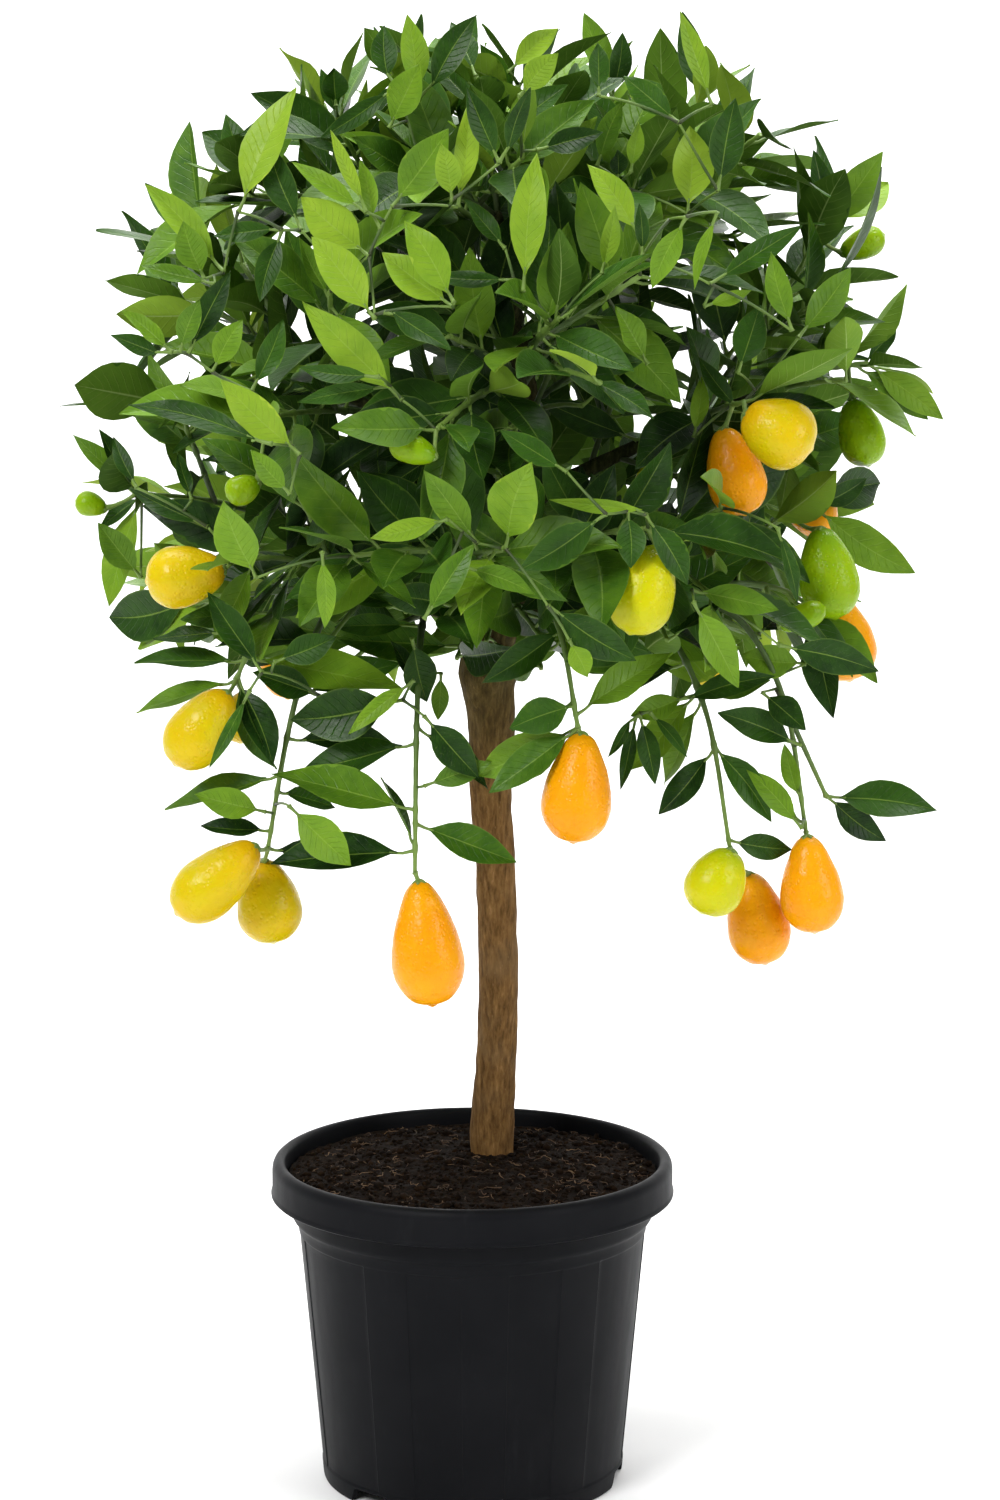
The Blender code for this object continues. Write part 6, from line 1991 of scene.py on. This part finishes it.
def pot_look():
    """Black moulded plastic with faint scuffs."""
    look = Look("pot_plastic")
    cloud = look.noise(22.0, 3.0)
    base = look.mix(look.between(cloud, 0.35, 0.7), (0.0056, 0.0060, 0.0072), (0.0076, 0.0080, 0.0094))
    scuff = look.noise(70.0, 5.0, 0.7, look.stretched(1.0, 1.0, 0.25))
    base = look.mix(look.between(scuff, 0.60, 0.78, 0.0, 0.30), base, (0.020, 0.021, 0.023))
    rough = look.between(scuff, 0.3, 0.75, 0.42, 0.54)
    grain = look.noise(2200.0, 2.0)
    look.set(Base_Color=base, Roughness=rough, Normal=look.bump(grain, 0.03, 0.6, look.bump(cloud, 0.5)))
    look.shader.inputs["Specular IOR Level"].default_value = 0.06
    return look.material


def floor_look():
    """A pale, dull surface that is clear from behind."""
    look = Look("studio_floor")
    base = look.mix(look.noise(3.0, 2.0), (0.90, 0.90, 0.90), (0.93, 0.93, 0.93))
    look.set(Base_Color=base, Roughness=0.9)
    look.shader.inputs["Specular IOR Level"].default_value = 0.1
    clear = look.node("ShaderNodeBsdfTransparent").outputs["BSDF"]
    one_sided = look.node("ShaderNodeMixShader")
    look.feed(one_sided.inputs[0], look.node("ShaderNodeNewGeometry").outputs["Backfacing"])
    look.feed(one_sided.inputs[1], look.shader.outputs["BSDF"])
    look.feed(one_sided.inputs[2], clear)
    look.feed(look.tree.nodes["Material Output"].inputs["Surface"], one_sided.outputs["Shader"])
    return look.material


# Studio, in metres and watts: each light's place, what it points at, its size and power

FLOOR_HALF = 4.0
FLOOR_FRONT = -3.0
FLOOR_BACK = 5.0
SWEEP_START = 0.6
SWEEP_RADIUS = 1.2
WALL_TOP = 4.0
DAYLIGHT = 0.24
LIGHTS = {
    "key": ((-1.3, -1.8, 2.0), (0.0, 0.0, 0.5), (0.9, 0.9), 50.0),
    "fill": ((1.8, -1.3, 1.1), (0.0, 0.0, 0.45), (0.8, 1.2), 19.0),
    "top": ((0.2, 0.3, 2.2), (0.0, 0.0, 0.6), (1.2, 1.2), 20.0),
    "backdrop": ((0.0, 0.4, 2.6), (0.0, 1.7, 0.6), (3.0, 0.6), 75.0),
}


def build_floor():
    """A pale floor with a sweep that rises from it behind, clear when looked at from behind."""
    profile = [(FLOOR_FRONT, 0.0), (SWEEP_START, 0.0)]
    for turn in np.linspace(0.1, math.pi / 2, 16):
        profile.append((SWEEP_START + SWEEP_RADIUS * math.sin(turn), SWEEP_RADIUS * (1 - math.cos(turn))))
    profile.append((SWEEP_START + SWEEP_RADIUS, WALL_TOP))
    rows = len(profile)
    points = [(x, y, z) for x in (-FLOOR_HALF, FLOOR_HALF) for y, z in profile]
    faces = [(i + rows, i + rows + 1, i + 1, i) for i in range(rows - 1)]
    points += [(-FLOOR_HALF, FLOOR_BACK, 0.0), (FLOOR_HALF, FLOOR_BACK, 0.0)]
    faces.append((rows + 1, 2 * rows + 1, 2 * rows, 1))
    mesh = bpy.data.meshes.new("studio_floor")
    mesh.from_pydata(points, [], faces)
    mesh.materials.append(floor_look())
    mesh.polygons.foreach_set("use_smooth", [k < rows - 1 for k in range(len(faces))])
    placed("studio_floor", mesh)


def build_light():
    """Soft light from above on both sides, and on the backdrop."""
    world = bpy.data.worlds.new("studio")
    bpy.context.scene.world = world
    world.use_nodes = True
    backdrop = world.node_tree.nodes["Background"]
    backdrop.inputs["Color"].default_value = (1.0, 1.0, 1.0, 1.0)
    backdrop.inputs["Strength"].default_value = DAYLIGHT
    for name, (place, aim, size, power) in LIGHTS.items():
        data = bpy.data.lights.new(name, "AREA")
        data.shape = "RECTANGLE"
        data.size, data.size_y = size
        data.energy = power
        light = placed(name, data)
        light.location = place
        light.rotation_euler = (Vector(aim) - Vector(place)).to_track_quat("-Z", "Y").to_euler()


def build_camera():
    """A camera at the eye of the front view."""
    data = bpy.data.cameras.new("camera")
    data.sensor_width = SENSOR_WIDTH
    data.lens = VIEW_REACH * SENSOR_WIDTH / VIEW_HEIGHT
    camera = placed("camera", data)
    camera.location = VIEW_EYE
    camera.rotation_euler = (math.pi / 2 - VIEW_PITCH, 0.0, 0.0)
    bpy.context.scene.camera = camera


# The tree


def carriers_of(fruit, twigs, wood):
    """The fine lines of the limb or the twigs that a fruit may hang from."""
    if fruit["from"] in wood:
        path, radii = wood[fruit["from"]]
        return [smooth_rows([(*p, r * MM) for p, r in zip(path, radii)], TWIG_STEP * MM)]
    return [fine_line(twig) for twig in twigs[fruit["from"]]]


def build_tree():
    """All the fine pieces of the plant and its pot."""
    wood = grow_wood()
    fruits = place_fruits()
    twigs, twig_trees = grow_twigs(wood, fruits)
    join_stalks(fruits, twigs, wood)
    leaves = grow_leaves(twigs, twig_trees, wood, fruits)
    shoots = grow_shoots(wood)
    by_shoot, by_spray, stems = grow_filling(twigs, shoots, leaves, wood, fruits)
    green = [leaf_upper_look(), leaf_lower_look(), twig_look()]
    for name, rows in twigs.items():
        spray_piece(name, rows + stems[name], leaves[name] + by_spray[name], green, name)
    carried = {}
    for spray, rows in SPRAYS.items():
        carried.setdefault(rows[0][0], spray)
    for name, rows in shoots.items():
        if rows:
            slot = carried.get(name, "spray_top_mid")
            spray_piece(f"shoots_{name}", rows, by_shoot[name], green, slot=slot)
    peels = {kind: fruit_look(kind) for kind in FRUIT_KINDS}
    stalk = stalk_look()
    for name, fruit in fruits.items():
        kind = name.split("_")[1]
        anchor = nearest_of(carriers_of(fruit, twigs, wood), fruit["joint"])
        fruit_piece(name, fruit, anchor, [peels[kind], stalk])
    trunk_piece(wood, [bark_look()])
    soil_piece(wood["trunk"][0][0], [soil_look(), fibre_look()])
    pot_piece([pot_look()])


build_tree()
build_floor()
build_light()
build_camera()
bpy.context.scene.view_settings.view_transform = "Standard"
